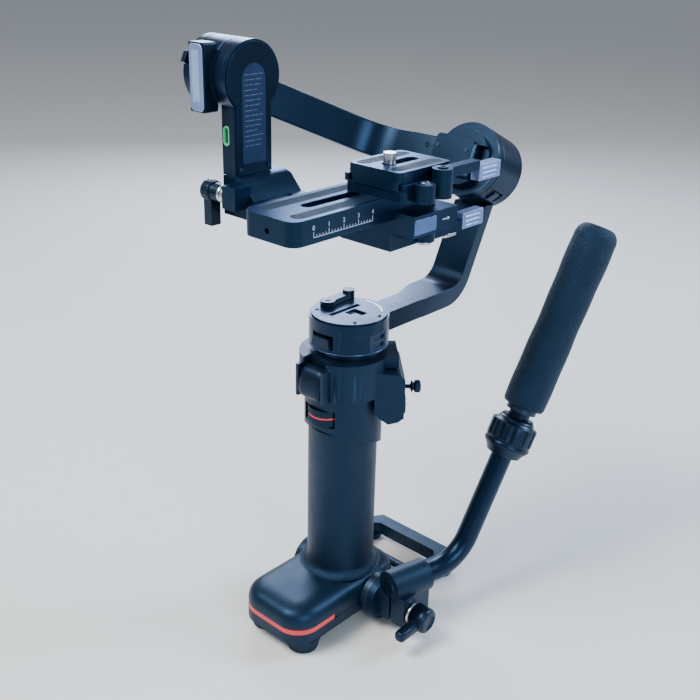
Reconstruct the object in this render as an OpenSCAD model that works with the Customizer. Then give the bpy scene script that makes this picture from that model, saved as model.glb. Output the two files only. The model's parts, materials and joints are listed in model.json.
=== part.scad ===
// Three-axis handheld camera gimbal with a side-mounted sling grip.
// Z is up, the floor is z = 0 and the handle's axis is x = y = 0.
// The camera looks towards -Y, the roll motor is at the rear (+Y) and
// the tilt motor hangs on the -X side.

/* [Base] */
// Half width of the base
base_half_w = 24; // [22:0.1:29]
// Length of the base in front of the handle axis
base_front = 57; // [48:1:66]
// Length of the base's solid body behind the handle axis
base_rear = 27; // [25:1:32]
// Height of the base shell's flat top
base_top_z = 28; // [26:0.5:32]
// Height of the seam between the base's two shells
base_seam_z = 14; // [12:0.5:16]
// Wall of the base shells
base_wall = 2.4; // [1.8:0.1:3]
// Height of the front feet
foot_h = 8; // [7:0.5:9]
// Distance from the handle axis to the back of the wrist rest
rest_rear = 69; // [62:1:80]
// Half width of the wrist rest
rest_half_w = 35; // [30:0.5:40]
// Radius of the side rosettes
rosette_r = 12.5; // [11:0.1:13]
// Radius of the tripod thread under the handle
tripod_r = 3.175; // [3.1:0.025:3.3]
// Depth of the tripod thread
tripod_depth = 8.5; // [6:0.5:9]
// Radius of the threaded hole in each side rosette
rosette_hole_r = 3; // [2.5:0.1:3.5]

/* [Handle and head] */
// Outer radius of the handle grip
grip_r = 18.6; // [17.5:0.1:20]
// Wall of the handle grip
grip_wall = 2.6; // [2:0.1:3]
// Height of the handle grip's top end
grip_top_z = 116; // [108:1:122]
// Height of the joint between the collar and the head housing
head_z = 137; // [134:0.5:140]
// Outer radius of the head housing
head_r = 23.5; // [22.5:0.1:25]
// Height of the head housing's top rim
head_top_z = 157.5; // [156:0.5:160]

/* [Pan motor] */
// Outer radius of the pan motor
pan_r = 20.7; // [20:0.1:22]
// Height of the pan motor's turning part
pan_h = 17; // [16.5:0.5:20]
// Distance from the handle axis back to the pan axis
pan_y = 3; // [1:0.5:4]

/* [Arms] */
// Height of the point in which the three axes meet
axes_z = 286.5; // [280:0.5:344]
// Downward slope of the roll axis towards the rear, in degrees
roll_slope = 25.5; // [22:0.5:28]
// Width of the yaw arm
yaw_w = 21.4; // [19:0.2:24]
// Thickness of the yaw arm
yaw_t = 10.4; // [9:0.1:11]
// Outer radius of the roll motor
roll_r = 20.5; // [19:0.1:25]
// Distance along the roll axis from the axes' meeting point to the roll arm
roll_arm_s = 94; // [88:1:100]
// Thickness of the roll arm
roll_arm_t = 6; // [5:0.1:7]
// Height of the roll arm's band
roll_arm_h = 19; // [16:0.5:21]
// Outer radius of the tilt motor
tilt_r = 19; // [18:0.1:20]
// Distance from the pan axis to the inner face of the tilt arm
tilt_arm_x = 70; // [66:1:76]
// Thickness of the tilt arm
tilt_arm_t = 10.6; // [10:0.1:12]
// Width of the tilt arm
tilt_arm_w = 26; // [24:0.5:30]

/* [Camera stage] */
// Width of the lower plate
plate_w = 34; // [32:0.1:41]
// Length of the lower plate
plate_l = 104; // [96:1:116]
// Height of the lower plate's top face
plate_z = 240; // [236:0.5:244]
// Thickness of the lower plate
plate_t = 12; // [11:0.5:14]
// Width of the upper plate
upper_w = 33; // [30:0.5:36]
// Length of the upper plate
upper_l = 40; // [36:1:44]
// Radius of the camera screw's thread
camera_screw_r = 3.175; // [3.1:0.025:3.3]

/* [Sling grip] */
// Outer radius of the sling tube
tube_r = 6; // [5.5:0.1:6.5]
// Wall of the sling tube
tube_wall = 1.3; // [1:0.1:1.8]
// Outer radius of the foam grip
foam_r = 12; // [11:0.1:14]
// Length of the foam grip
foam_l = 106; // [90:1:128]
// Slope of the sling handle above the horizontal, in degrees
sling_slope = 65.5; // [60:0.5:72]
// Outward turn of the sling tube, in degrees
sling_turn = 14; // [8:1:18]

/* [Hidden] */
$fn = 72;
// Clearances: running fits, and the gap between moving neighbours
fit = 0.05;
gap = 0.35;
// Base
base_w = 2 * base_half_w;
base_l = base_front + base_rear;
base_mid_y = (base_rear - base_front) / 2;
base_corner_r = 14;
base_bevel = 5;
cover_z = foot_h;
rest_z = 4.4;
stripe_h = 3;
stripe_reach = 28;
rosette_y = 3;
rosette_z = 15;
rosette_t = 4.2;
rosette_x = base_half_w + rosette_t;
// Handle, collar and head
grip_in_r = grip_r - grip_wall;
collar_r = grip_r + 2.1;
collar_low_z = 100;
head_wall = 2.4;
neck_r = 17;
pan_z = head_top_z + 3.5;
pan_top_z = pan_z + pan_h;
pan_seam_z = pan_top_z - 6.5;
pan_shaft_r = 6;
bearing_r = 9.5;
bearing_h = 5;
// Controls on the head: front dial, trigger, and the pod's joystick and wheel
dial_y = -12.6;
dial_z = 121;
dial_h = 9;
dial_r = 9.8;
dial_pin_r = 1.5;
trigger_w = 15;
trigger_pin_r = 1.2;
trigger_pin_y = -19.5;
trigger_pin_z = head_top_z - 5.5;
pod_half_w = 18;
pod_face = 30.6;
joystick_z = 136;
joystick_pivot = 26.7;
cradle_r = 4.4;
cradle_bore_r = 2.9;
stick_pin_r = 0.6;
wheel_z = 126.2;
wheel_r = 5.8;
wheel_shaft_r = 1.2;
// Yaw arm
yaw_top_z = pan_top_z - 3.6;
yaw_front_y = pan_y - 9;
yaw_bend_r = 13;
yaw_outer_r = 22;
rail_x = 2.4;
rail_w = yaw_w - 5.8;
upright_t = yaw_t - 2.9;
roll_front_s = roll_arm_s + roll_arm_t + 2;
roll_stator_s = roll_front_s + 6.5;
roll_end_s = roll_front_s + 29;
upright_front_s = roll_end_s - 10.8;
// The bend's far end along y, and the upright's direction, as (y, z)
function bend_y(s, z) = pan_y + (s + (z - axes_z) * sin(roll_slope)) / cos(roll_slope);
upright_len = (axes_z - yaw_top_z) / cos(roll_slope) - upright_front_s * tan(roll_slope)
    - roll_r - 2.5;
across = [cos(roll_slope), -sin(roll_slope)];
upward = [sin(roll_slope), cos(roll_slope)];
// Roll arm, in the roll axis' own frame: x across, y along the axis
roll_arm_top = 7.5;
roll_corner_x = -60;
roll_arm_end_x = 10;
roll_shaft_r = 5;
tilt_shaft_r = 5;
tilt_out_x = -(tilt_arm_x + tilt_arm_t + gap);
tilt_body_l = 17;
tilt_cap_l = 6.5;
light_w = 11.5;
light_h = 35;
// Tilt arm, and the stage arm's tongue inside it
arm_half_w = tilt_arm_w / 2;
tongue_w = 14;
tongue_t = 3.4;
tongue_h = 34;
// Stage
arm_low_z = axes_z - 50;
lever_stud_r = 2.5;
lever_stud_y = -15.5;
lever_stud_z = arm_low_z - 8.5;
shelf_low_z = 222;
shelf_t = 7;
plate_x = 2;
plate_front_y = -56;
plate_low_z = plate_z - plate_t;
dovetail_h = 3.2;
clamp_x = plate_x;
clamp_y = 28;
clamp_l = 34;
clamp_w = plate_w + 11;
clamp_low_z = 212;
lever_x = plate_x + plate_w / 2 + 7.5;
lever_y = 28;
lever_len = 28;
lever_pin_r = 2.5;
tab_l = 18;
tab_h = 8.4;
upper_x = 13;
upper_y = 23;
riser_z = plate_z;
riser_h = 8;
upper_z = riser_z + 14.5;
upper_lever_x = upper_x + upper_w / 2 + 5.9;
// Sling
clamp_in_x = rosette_x + gap;
sling_x = clamp_in_x + 13;
sling_y = 3;
sling_z = 29.5;
sling_bend_r = 26;
sling_corner = 40;
bend_cut = sling_bend_r * tan(sling_slope / 2);
collar_s = 67;
collar_l = 26;
foam_s = 96;

// ---------- shared shapes ----------

// Rectangle centred on the origin with true round corners
module round_rect(w, l, r) {
    square([w - 2 * r, l], center = true);
    square([w, l - 2 * r], center = true);
    for (x = [-1, 1], y = [-1, 1])
        translate([x * (w / 2 - r), y * (l / 2 - r)]) circle(r);
}

// Block with round vertical edges, standing on z
module round_block(w, l, r, z, h) {
    translate([0, 0, z]) linear_extrude(h) round_rect(w, l, r);
}

// Rounded bar between two points of a plane
module bar_2d(p, q, r) {
    len = norm(q - p);
    translate(p) rotate(atan2(q[1] - p[1], q[0] - p[0])) {
        translate([0, -r]) square([len, 2 * r]);
        circle(r);
        translate([len, 0]) circle(r);
    }
}

// Ring sector around the origin from angle a to angle b, under 180 degrees
module arc_2d(r_in, r_out, a, b) {
    far = 2 * r_out;
    mid = (a + b) / 2;
    intersection() {
        difference() {
            circle(r_out);
            circle(r_in);
        }
        polygon([[0, 0], far * [cos(a), sin(a)], far * [cos(mid), sin(mid)], far * [cos(b), sin(b)]]);
    }
}

// Ring standing on z
module ring(r_out, r_in, z, h) {
    translate([0, 0, z]) difference() {
        cylinder(r = r_out, h = h);
        translate([0, 0, -1]) cylinder(r = r_in, h = h + 2);
    }
}

// Cylinder along +X starting at x
module x_cyl(r, x, l) {
    translate([x, 0, 0]) rotate([0, 90, 0]) cylinder(r = r, h = l);
}

// Cylinder along +Y starting at y
module y_cyl(r, y, l) {
    translate([0, y, 0]) rotate([-90, 0, 0]) cylinder(r = r, h = l);
}

// Extrudes an outline drawn as (y, z) along +X from x
module along_x(x, l) {
    translate([x, 0, 0]) rotate([90, 0, 90]) linear_extrude(l) children();
}

// Frames of the moving groups
module at_pan() { translate([0, pan_y, 0]) children(); }
module at_axes() { translate([0, pan_y, axes_z]) children(); }
module in_roll() { at_axes() rotate([-roll_slope, 0, 0]) children(); }
module in_pod() { rotate([0, 0, 45]) children(); }
module in_sling() { translate([sling_x, sling_y, sling_z]) rotate([0, 0, -sling_turn]) children(); }
// The sling handle's own axis is local z, from the corner of the bend
module on_sling() { in_sling() translate([0, sling_corner, 0]) rotate([sling_slope - 90, 0, 0]) children(); }

// ---------- base ----------

module base_outline(inset = 0) {
    translate([0, base_mid_y])
        round_rect(base_w - 2 * inset, base_l - 2 * inset, base_corner_r - min(inset, base_corner_r - 2));
}

module base_shell() {
    top = base_top_z;
    color("#20242c") difference() {
        hull() {
            translate([0, 0, base_seam_z]) linear_extrude(top - base_seam_z - base_bevel, $fn = 48)
                base_outline();
            translate([0, 0, top - 0.5]) linear_extrude(0.5, $fn = 48) base_outline(base_bevel);
        }
        hull() {
            translate([0, 0, base_seam_z - 1]) linear_extrude(top - base_seam_z - base_bevel, $fn = 48)
                base_outline(base_wall);
            translate([0, 0, top - base_wall - 0.5]) linear_extrude(0.5, $fn = 48)
                base_outline(base_bevel + base_wall);
        }
        // Socket for the handle grip
        cylinder(r = grip_r, h = top + 1);
        // Groove for the red stripe, open at the front
        translate([-base_w, -base_front - 1, base_seam_z - 1])
            cube([2 * base_w, stripe_reach + 1, stripe_h + 1]);
    }
}

module base_stripe() {
    color("#c8242c") translate([0, 0, base_seam_z]) linear_extrude(stripe_h) difference() {
        base_outline(0.5);
        base_outline(base_wall + 1.2);
        translate([-base_w, stripe_reach - base_front]) square([2 * base_w, base_l]);
    }
}

module base_cover() {
    color("#1b1f26") difference() {
        union() {
            difference() {
                translate([0, 0, cover_z]) linear_extrude(base_seam_z - cover_z) base_outline(0.3);
                translate([0, 0, cover_z + base_wall]) linear_extrude(base_seam_z) base_outline(0.3 + base_wall);
            }
            // Boss with the tripod thread
            cylinder(r = 9, h = base_seam_z - 1);
        }
        translate([0, 0, -1]) cylinder(r = tripod_r, h = tripod_depth + 1);
        for (p = base_screw_points()) translate([p[0], p[1], cover_z - 1]) cylinder(r = 1.6, h = 5);
    }
}

function base_screw_points() = [for (x = [-1, 1], y = [-44, 16]) [x * 12, y]];

module base_screws() {
    color("#8a8f98") for (p = base_screw_points()) translate([p[0], p[1], 0]) {
        translate([0, 0, cover_z]) cylinder(r = 1.6, h = base_wall + 0.1);
        translate([0, 0, cover_z + base_wall]) cylinder(r = 2.9, h = 1.4);
    }
}

// A foot is a tapered round pad; the rear pair carries the wrist rest
module foot(x, y, r, h) { translate([x, y, 0]) cylinder(r1 = r - 2, r2 = r, h = h); }

module base_feet() {
    color("#15181d") {
        for (x = [-1, 1]) foot(x * (base_half_w - 10), 13.5 - base_front, 10, cover_z);
        for (x = [-1, 1]) foot(x * (rest_half_w - 7), rest_rear - 8, 7.4, rest_z);
    }
}

module rest_outline(inset) {
    front = base_rear - 6;
    polygon([
        [-base_half_w + inset, front + inset], [base_half_w - inset, front + inset],
        [rest_half_w - inset, rest_rear - 14], [rest_half_w - inset - 9, rest_rear - inset],
        [9 + inset - rest_half_w, rest_rear - inset], [inset - rest_half_w, rest_rear - 14]
    ]);
}

module wrist_rest() {
    tall = 8.1;
    bar_r = 4.4;
    color("#1d2129") {
        translate([0, 0, rest_z]) linear_extrude(tall) difference() {
            rest_outline(0);
            translate([0, base_mid_y]) round_rect(base_w, base_l, base_corner_r);
            polygon([
                [-19, base_rear + 4], [19, base_rear + 4], [25, rest_rear - 12], [21, rest_rear - 8.5],
                [-21, rest_rear - 8.5], [-25, rest_rear - 12]
            ]);
        }
        translate([0, base_rear + 8.5, rest_z + bar_r + 0.1]) x_cyl(bar_r, -22, 44);
    }
}

module rosettes() {
    color("#3c414a") for (s = [-1, 1]) translate([0, rosette_y, rosette_z]) {
        mirror([s < 0 ? 1 : 0, 0, 0]) difference() {
            x_cyl(rosette_r, base_half_w, rosette_t);
            x_cyl(rosette_hole_r, base_half_w - 1, rosette_t + 2);
        }
    }
}

// ---------- handle and head ----------

module grip_shell() {
    flare = 4.5;
    color("#22272f") difference() {
        union() {
            translate([0, 0, base_seam_z + 1]) cylinder(r = grip_r, h = grip_top_z - base_seam_z - 1);
            // Fillet that spreads the handle onto the base
            rotate_extrude() difference() {
                translate([grip_r - 1, base_top_z]) square([flare + 1, flare]);
                translate([grip_r + flare, base_top_z + flare]) circle(flare);
            }
        }
        translate([0, 0, base_seam_z]) cylinder(r = grip_in_r, h = grip_top_z);
    }
}

module battery_cells() {
    cell_r = 7.2;
    spread = 8.5;
    color("#3f7a52") for (a = [90, 210, 330])
        rotate(a) translate([spread, 0, base_seam_z + 4]) cylinder(r = cell_r, h = 65);
}

// Slanted lower edge of the collar
module collar_cut() {
    translate([0, -collar_r - 2, 119]) rotate([-21, 0, 0]) translate([-40, -20, -60]) cube([80, 100, 60]);
}

module head_collar() {
    floor_z = grip_top_z;
    color("#20252e") {
        difference() {
            translate([0, 0, collar_low_z]) cylinder(r = collar_r, h = head_z - collar_low_z);
            translate([0, 0, collar_low_z - 1]) cylinder(r = grip_r, h = floor_z - collar_low_z + 1);
            translate([0, 0, floor_z + 2]) cylinder(r = collar_r - 2.4, h = 30);
            collar_cut();
            translate([0, dial_y, dial_z - gap]) cylinder(r = dial_r + gap, h = dial_h + 2 * gap);
            translate([-10.6, -collar_r - 2, dial_z - gap]) cube([21.2, 8, dial_h + 2 * gap]);
        }
        // Pin of the front dial
        translate([0, dial_y, floor_z + 1]) cylinder(r = dial_pin_r, h = 15);
    }
}

module front_dial() {
    color("#16181c") difference() {
        translate([0, dial_y, dial_z]) cylinder(r = dial_r, h = dial_h);
        translate([0, dial_y, dial_z - 1]) cylinder(r = dial_pin_r + fit, h = dial_h + 2);
        translate([0, dial_y, dial_z + dial_h / 2]) rotate_extrude() translate([dial_r, 0]) circle(0.7);
    }
}

module head_housing() {
    pocket_w = trigger_w + 2 * gap;
    deck = 2;
    color("#232932") {
        difference() {
            union() {
                translate([0, 0, head_z]) cylinder(r = head_r, h = head_top_z - head_z);
                // Cheeks around the trigger
                translate([-trigger_w / 2 - 2, -26.2, head_z])
                    cube([trigger_w + 4, 16, head_top_z - head_z - 3]);
                // Rear shoulder above the control pod
                in_pod() translate([14, -11, 151.5]) cube([13.5, 22, head_top_z - 151.5]);
            }
            translate([0, 0, head_z + deck])
                cylinder(r = head_r - head_wall, h = head_top_z - head_z - 2 * deck);
            translate([0, 0, head_z - 1]) cylinder(r = 12, h = 6);
            at_pan() translate([0, 0, head_z + 5]) cylinder(r = neck_r, h = 40);
            translate([-pocket_w / 2, -40, head_z - 1]) cube([pocket_w, 25, head_top_z - head_z + 4]);
        }
        // Trigger pin
        translate([0, trigger_pin_y, trigger_pin_z]) x_cyl(trigger_pin_r, -trigger_w / 2 - 1.2, trigger_w + 2.4);
        // Wall behind the trigger
        translate([-pocket_w / 2 - 1, -17, head_z]) cube([pocket_w + 2, 1.8, head_top_z - head_z - 0.5]);
    }
}

module trigger() {
    w = trigger_w;
    color("#14171c") difference() {
        along_x(-w / 2, w) polygon([
            [trigger_pin_y - 3, head_top_z - 3.2], [trigger_pin_y + 1.6, head_top_z - 3.2],
            [trigger_pin_y + 1.6, head_top_z - 7], [-23.2, head_top_z - 9], [-23.6, head_z + 2],
            [-26.5, head_z - 0.3], [-28.4, head_z + 2], [-26.6, head_top_z - 7]
        ]);
        translate([0, trigger_pin_y, trigger_pin_z]) x_cyl(trigger_pin_r + fit, -w, 2 * w);
    }
}

// Outline of the control pod's side, as (outward distance, z)
function pod_outline() = [
    [11, 138.4], [13.4, 151.4], [28.2, 150.4], [30.6, 147.5], [30.6, 126], [27.5, 123.6], [22.5, 122.4],
    [17, 126.4]
];

module side_pod() {
    color("#242a35") difference() {
        in_pod() translate([0, pod_half_w, 0]) rotate([90, 0, 0]) linear_extrude(2 * pod_half_w)
            polygon(pod_outline());
        cylinder(r = head_r, h = 200);
        in_pod() {
            // Well of the joystick
            translate([0, 0, joystick_z]) x_cyl(5.2, pod_face - 6.8, 10);
            // Slot of the control wheel
            translate([0, 0, wheel_z]) x_cyl(wheel_r + gap, pod_face - 1.6, 10);
            translate([0, 0, wheel_z]) x_cyl(wheel_shaft_r + fit, pod_face - 6, 10);
        }
    }
}

// Ring that tilts up and down on two side pins, and holds the joystick's upright pins
module joystick_cradle() {
    color("#707680") in_pod() translate([joystick_pivot, 0, joystick_z]) {
        difference() {
            x_cyl(cradle_r, -1.2, 2.4);
            x_cyl(cradle_bore_r, -2, 4);
            cylinder(r = stick_pin_r + fit, h = 4 * cradle_r, center = true);
        }
        for (s = [-1, 1]) translate([0, s * (cradle_r + 0.2), 0]) rotate([90, 0, 0])
            cylinder(r = 0.7, h = 0.8, center = true);
    }
}

module joystick() {
    color("#1a1d22") in_pod() translate([joystick_pivot, 0, joystick_z]) {
        x_cyl(2.4, -1, 2);
        cylinder(r = stick_pin_r, h = 2 * cradle_r - 1.6, center = true);
        x_cyl(1.3, 0, 10);
        x_cyl(2.3, 9.1, 1.4);
        translate([11.1, 0, 0]) sphere(r = 3.4);
    }
}

module side_wheel() {
    color("#15181c") in_pod() translate([0, 0, wheel_z]) {
        difference() {
            x_cyl(wheel_r, pod_face - 1.4, 3.6);
            for (a = [0:30:330]) rotate([a, 0, 0]) translate([0, 0, wheel_r + 0.5]) x_cyl(1, 0, 60);
        }
        x_cyl(wheel_shaft_r, pod_face - 5.5, 5);
    }
}

module pan_stator() {
    color("#4b515b") at_pan() {
        difference() {
            translate([0, 0, head_z + 2]) cylinder(r = neck_r - 0.02, h = pan_z - gap - head_z - 2);
            translate([0, 0, head_z]) cylinder(r = bearing_r, h = 40);
            translate([-20, -neck_r - 5, head_z]) cube([40, 7.2, 18]);
        }
    }
}

module pan_bearings() {
    color("#b9bec6") at_pan() for (z = [head_z + 3, pan_z - gap - bearing_h - 0.6])
        ring(bearing_r - 0.02, pan_shaft_r + fit, z, bearing_h);
}

// ---------- pan motor ----------

// Channel in which the yaw arm slides
module yaw_channel() {
    w = rail_w + 2 * fit;
    translate([rail_x - w / 2, yaw_front_y - 9, yaw_top_z - yaw_t - fit])
        cube([w, 60, yaw_t + 2 * fit]);
}

module pan_housing() {
    color("#222830") difference() {
        at_pan() union() {
            translate([0, 0, pan_z]) cylinder(r = pan_r, h = pan_seam_z - pan_z);
            translate([0, 0, head_z + 3]) cylinder(r = pan_shaft_r, h = pan_z - head_z - 3);
        }
        yaw_channel();
        at_pan() {
            rotate(-90) translate([pan_r - 3, -7, pan_z + 2.4]) cube([6, 14, 7.6]);
            translate([pan_r - 2, -6, pan_z + 1.4]) cube([6, 12, pan_seam_z - pan_z]);
        }
    }
}

module pan_cover() {
    color("#2a3038") difference() {
        at_pan() translate([0, 0, pan_seam_z]) {
            cylinder(r = pan_r, h = pan_top_z - pan_seam_z - 1);
            cylinder(r = pan_r - 1, h = pan_top_z - pan_seam_z);
        }
        yaw_channel();
        at_pan() {
            translate([-3.6, -12, pan_top_z - 1.2]) cube([2.8, 22, 3]);
            translate([0.2, -4, pan_top_z - 1.2]) cube([9, 8, 3]);
            translate([-12.5, -3, pan_top_z - 8]) cylinder(r = 1.2 + fit, h = 12);
        }
    }
}

module motor_ports() {
    color("#565d68") at_pan() translate([pan_r - 2, 0, pan_z + 1.4]) difference() {
        translate([0, -6, 0]) cube([1.4, 12, pan_seam_z - pan_z - 1.4]);
        for (z = [2.3, 6.5]) translate([0.4, 0, z]) rotate([90, 0, 90])
            linear_extrude(3) round_rect(9, 2.8, 1.39);
    }
}

module pan_lock() {
    color("#171a1f") at_pan() rotate(-90) translate([pan_r - 2.6, 0, pan_z + 2.8])
        rotate([90, 0, 90]) linear_extrude(3.6) polygon([[-6.4, 0], [6.4, 0], [5.2, 5.6], [-5.2, 5.6]]);
}

module pan_lever() {
    color("#1c2026") at_pan() translate([-12.5, -3, 0]) {
        translate([0, 0, pan_top_z + gap]) linear_extrude(2.8) {
            bar_2d([0, 0], [-1, 17], 2.7);
            circle(4);
        }
        translate([-1, 17, pan_top_z + gap]) cylinder(r = 3.2, h = 4.2);
        translate([0, 0, pan_top_z - 1.6]) cylinder(r = 1.2, h = 5);
    }
}

// ---------- yaw arm and roll motor ----------

// Everything above low and in front of the line s, with a round corner, as (y, z)
module inside_bend(low, s, r, front, len) {
    c = [bend_y(s - r, low + r), low + r];
    end = c + r * across + len * upward;
    polygon([[front, low], [c[0], low], c + r * across, end, [front, end[1]]]);
    translate(c) circle(r);
}

module yaw_profile() {
    difference() {
        inside_bend(yaw_top_z - yaw_t, upright_front_s + upright_t, yaw_outer_r, yaw_front_y, upright_len);
        inside_bend(yaw_top_z, upright_front_s, yaw_bend_r, yaw_front_y - 1, upright_len + 20);
    }
}

module yaw_arm() {
    far = rail_x - rail_w / 2;
    near = rail_x + rail_w / 2;
    flare_y = max(bend_y(upright_front_s, yaw_top_z) - 34, pan_y + pan_r + 13);
    color("#20262f") difference() {
        along_x(-yaw_w / 2, yaw_w) yaw_profile();
        in_roll() y_cyl(roll_r, 0, roll_end_s + 20);
        // The rail that slides in the pan motor is narrower than the arm
        translate([0, 0, yaw_top_z - yaw_t - 1]) linear_extrude(yaw_t + 30) {
            polygon([[-yaw_w, -40], [far, -40], [far, flare_y], [-yaw_w / 2 - 0.01, flare_y + 16],
                [-yaw_w, flare_y + 16]]);
            polygon([[near, -40], [yaw_w, -40], [yaw_w, flare_y + 4], [yaw_w / 2 + 0.01, flare_y + 4],
                [near, flare_y]]);
        }
    }
}

module roll_latch_seat(room) {
    rotate([0, 45, 0]) translate([roll_r - 2.8, roll_end_s - 16, 0])
        translate([0, -room, -3.2 - room]) cube([6, 8.6 + 2 * room, 6.4 + 2 * room]);
}

module roll_housing() {
    color("#1f252d") in_roll() difference() {
        y_cyl(roll_r, roll_stator_s, roll_end_s - roll_stator_s - 3);
        y_cyl(roll_r - 2.4, roll_stator_s - 1, 6.5);
        y_cyl(bearing_r, roll_stator_s, roll_end_s);
        roll_latch_seat(gap);
    }
}

module roll_cap() {
    color("#2a2f38") in_roll() difference() {
        union() {
            y_cyl(roll_r, roll_end_s - 3, 1.5);
            y_cyl(roll_r - 1.5, roll_end_s - 3, 3);
            y_cyl(bearing_r - 0.02, roll_end_s - 6, 4);
        }
        y_cyl(7, roll_end_s - 0.8, 3);
    }
}

module roll_bearings() {
    color("#b9bec6") in_roll() for (s = [roll_stator_s + 7.4, roll_end_s - 6 - bearing_h]) difference() {
        y_cyl(bearing_r - 0.02, s, bearing_h);
        y_cyl(roll_shaft_r + fit, s - 1, bearing_h + 2);
    }
}

module roll_lock() {
    color("#4a505a") in_roll() rotate([0, 45, 0])
        translate([roll_r - 2.4, roll_end_s - 16, -3.2]) cube([3.6, 5, 6.4]);
}

module roll_rotor() {
    color("#262c35") in_roll() difference() {
        union() {
            y_cyl(roll_r, roll_front_s, roll_stator_s - roll_front_s - gap);
            y_cyl(16, roll_arm_s + 2.6, roll_front_s - roll_arm_s);
            y_cyl(roll_shaft_r, roll_front_s, roll_end_s - roll_front_s - 7);
        }
        // Channel in which the roll arm slides
        translate([-30, roll_arm_s - 1, roll_arm_top - roll_arm_h - fit])
            cube([60, roll_arm_t + 1 + fit, roll_arm_h + 2 * fit]);
    }
}

// Centre line of the roll arm's band, in the roll frame
function roll_path() = [
    [roll_arm_end_x, roll_arm_s + roll_arm_t / 2], [roll_corner_x, roll_arm_s + roll_arm_t / 2],
    [tilt_out_x - tilt_body_l / 2 - 1, tilt_r + 8]
];

module roll_arm() {
    r = roll_arm_t / 2;
    p = roll_path();
    color("#242a34") difference() {
        in_roll() translate([0, 0, roll_arm_top - roll_arm_h]) linear_extrude(roll_arm_h) {
            bar_2d(p[0], p[1], r);
            bar_2d(p[1], p[2], r);
            bar_2d(p[2], [p[2][0], 12], r + 1.5);
        }
        at_axes() x_cyl(tilt_r, -200, 200);
    }
}

// ---------- tilt motor ----------

module tilt_housing() {
    x = tilt_out_x - tilt_body_l;
    color("#1e242c") at_axes() difference() {
        x_cyl(tilt_r, x, tilt_body_l);
        x_cyl(bearing_r, x - 1, tilt_body_l + 2);
        translate([tilt_out_x - light_w - 0.5, -tilt_r - 5, -light_h / 2 - 0.1])
            cube([light_w + 0.2, 9.9, light_h + 0.2]);
    }
}

module tilt_cap() {
    x = tilt_out_x - tilt_body_l - tilt_cap_l;
    color("#23282f") at_axes() difference() {
        union() {
            x_cyl(tilt_r - 1.4, x, tilt_cap_l);
            x_cyl(tilt_r, x + 1.4, tilt_cap_l - 1.4);
        }
        rotate([-25, 0, 0]) translate([x - 1, -tilt_r - 2, -3 - gap]) cube([6.2, 5, 6 + 2 * gap]);
    }
}

module tilt_lock() {
    x = tilt_out_x - tilt_body_l - tilt_cap_l;
    color("#15181c") at_axes() rotate([-25, 0, 0])
        translate([x + 0.5, -tilt_r - 1.6, -3]) cube([3.1, 4.2, 6]);
}

module tilt_bearings() {
    color("#b9bec6") at_axes() for (x = [tilt_out_x - bearing_h - 0.5, tilt_out_x - tilt_body_l + 0.5])
        difference() {
            x_cyl(bearing_r - 0.02, x, bearing_h);
            x_cyl(tilt_shaft_r + fit, x - 1, bearing_h + 2);
        }
}

module light_housing() {
    x = tilt_out_x - light_w - 0.4;
    color("#1a1e24") at_axes() difference() {
        translate([x, -tilt_r - 4.2, -light_h / 2]) cube([light_w, 9, light_h]);
        translate([x + 1, -tilt_r - 5.2, -light_h / 2 + 1.2]) cube([light_w - 2, 2.6, light_h - 2.4]);
    }
}

module light_diffuser() {
    x = tilt_out_x - light_w - 0.4;
    color("#c9d2e6") at_axes() translate([x + 1.1, -tilt_r - 4.6, -light_h / 2 + 1.3])
        cube([light_w - 2.2, 2, light_h - 2.6]);
}

// ---------- tilt arm ----------

module tombstone() {
    circle(tilt_r);
    translate([-arm_half_w, arm_low_z - axes_z]) square([tilt_arm_w, axes_z - arm_low_z]);
}

module tilt_arm() {
    x = -tilt_arm_x - tilt_arm_t;
    color("#20262e") at_axes() difference() {
        union() {
            along_x(x, tilt_arm_t - 3) tombstone();
            x_cyl(tilt_shaft_r, x - tilt_body_l, tilt_body_l + 1);
        }
        // Slot in which the stage arm's tongue slides
        translate([x + 2.4, -tongue_w / 2 - fit, arm_low_z - axes_z - 1])
            cube([tongue_t + 2 * fit, tongue_w + 2 * fit, tongue_h + 3]);
        translate([x + 0.6, -arm_half_w - 1, -35]) cube([5, 4, 11]);
    }
}

module tilt_cover() {
    color("#2a3450") at_axes() {
        along_x(-tilt_arm_x - 3, 2.2) tombstone();
        along_x(-tilt_arm_x - 0.8, 0.8) {
            circle(tilt_r - 1);
            translate([1 - arm_half_w, arm_low_z - axes_z + 1]) square([tilt_arm_w - 2, axes_z - arm_low_z - 1]);
        }
    }
}

module tilt_port() {
    x = -tilt_arm_x - tilt_arm_t;
    color("#3fae6a") at_axes() translate([x + 3.1, -arm_half_w + 3, -29.5]) rotate([90, 0, 0])
        difference() {
            linear_extrude(3.1) round_rect(4.8, 10.6, 2.39);
            translate([0, 0, -1]) linear_extrude(6) round_rect(2.9, 8.7, 1.44);
        }
}

// ---------- camera stage ----------

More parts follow.
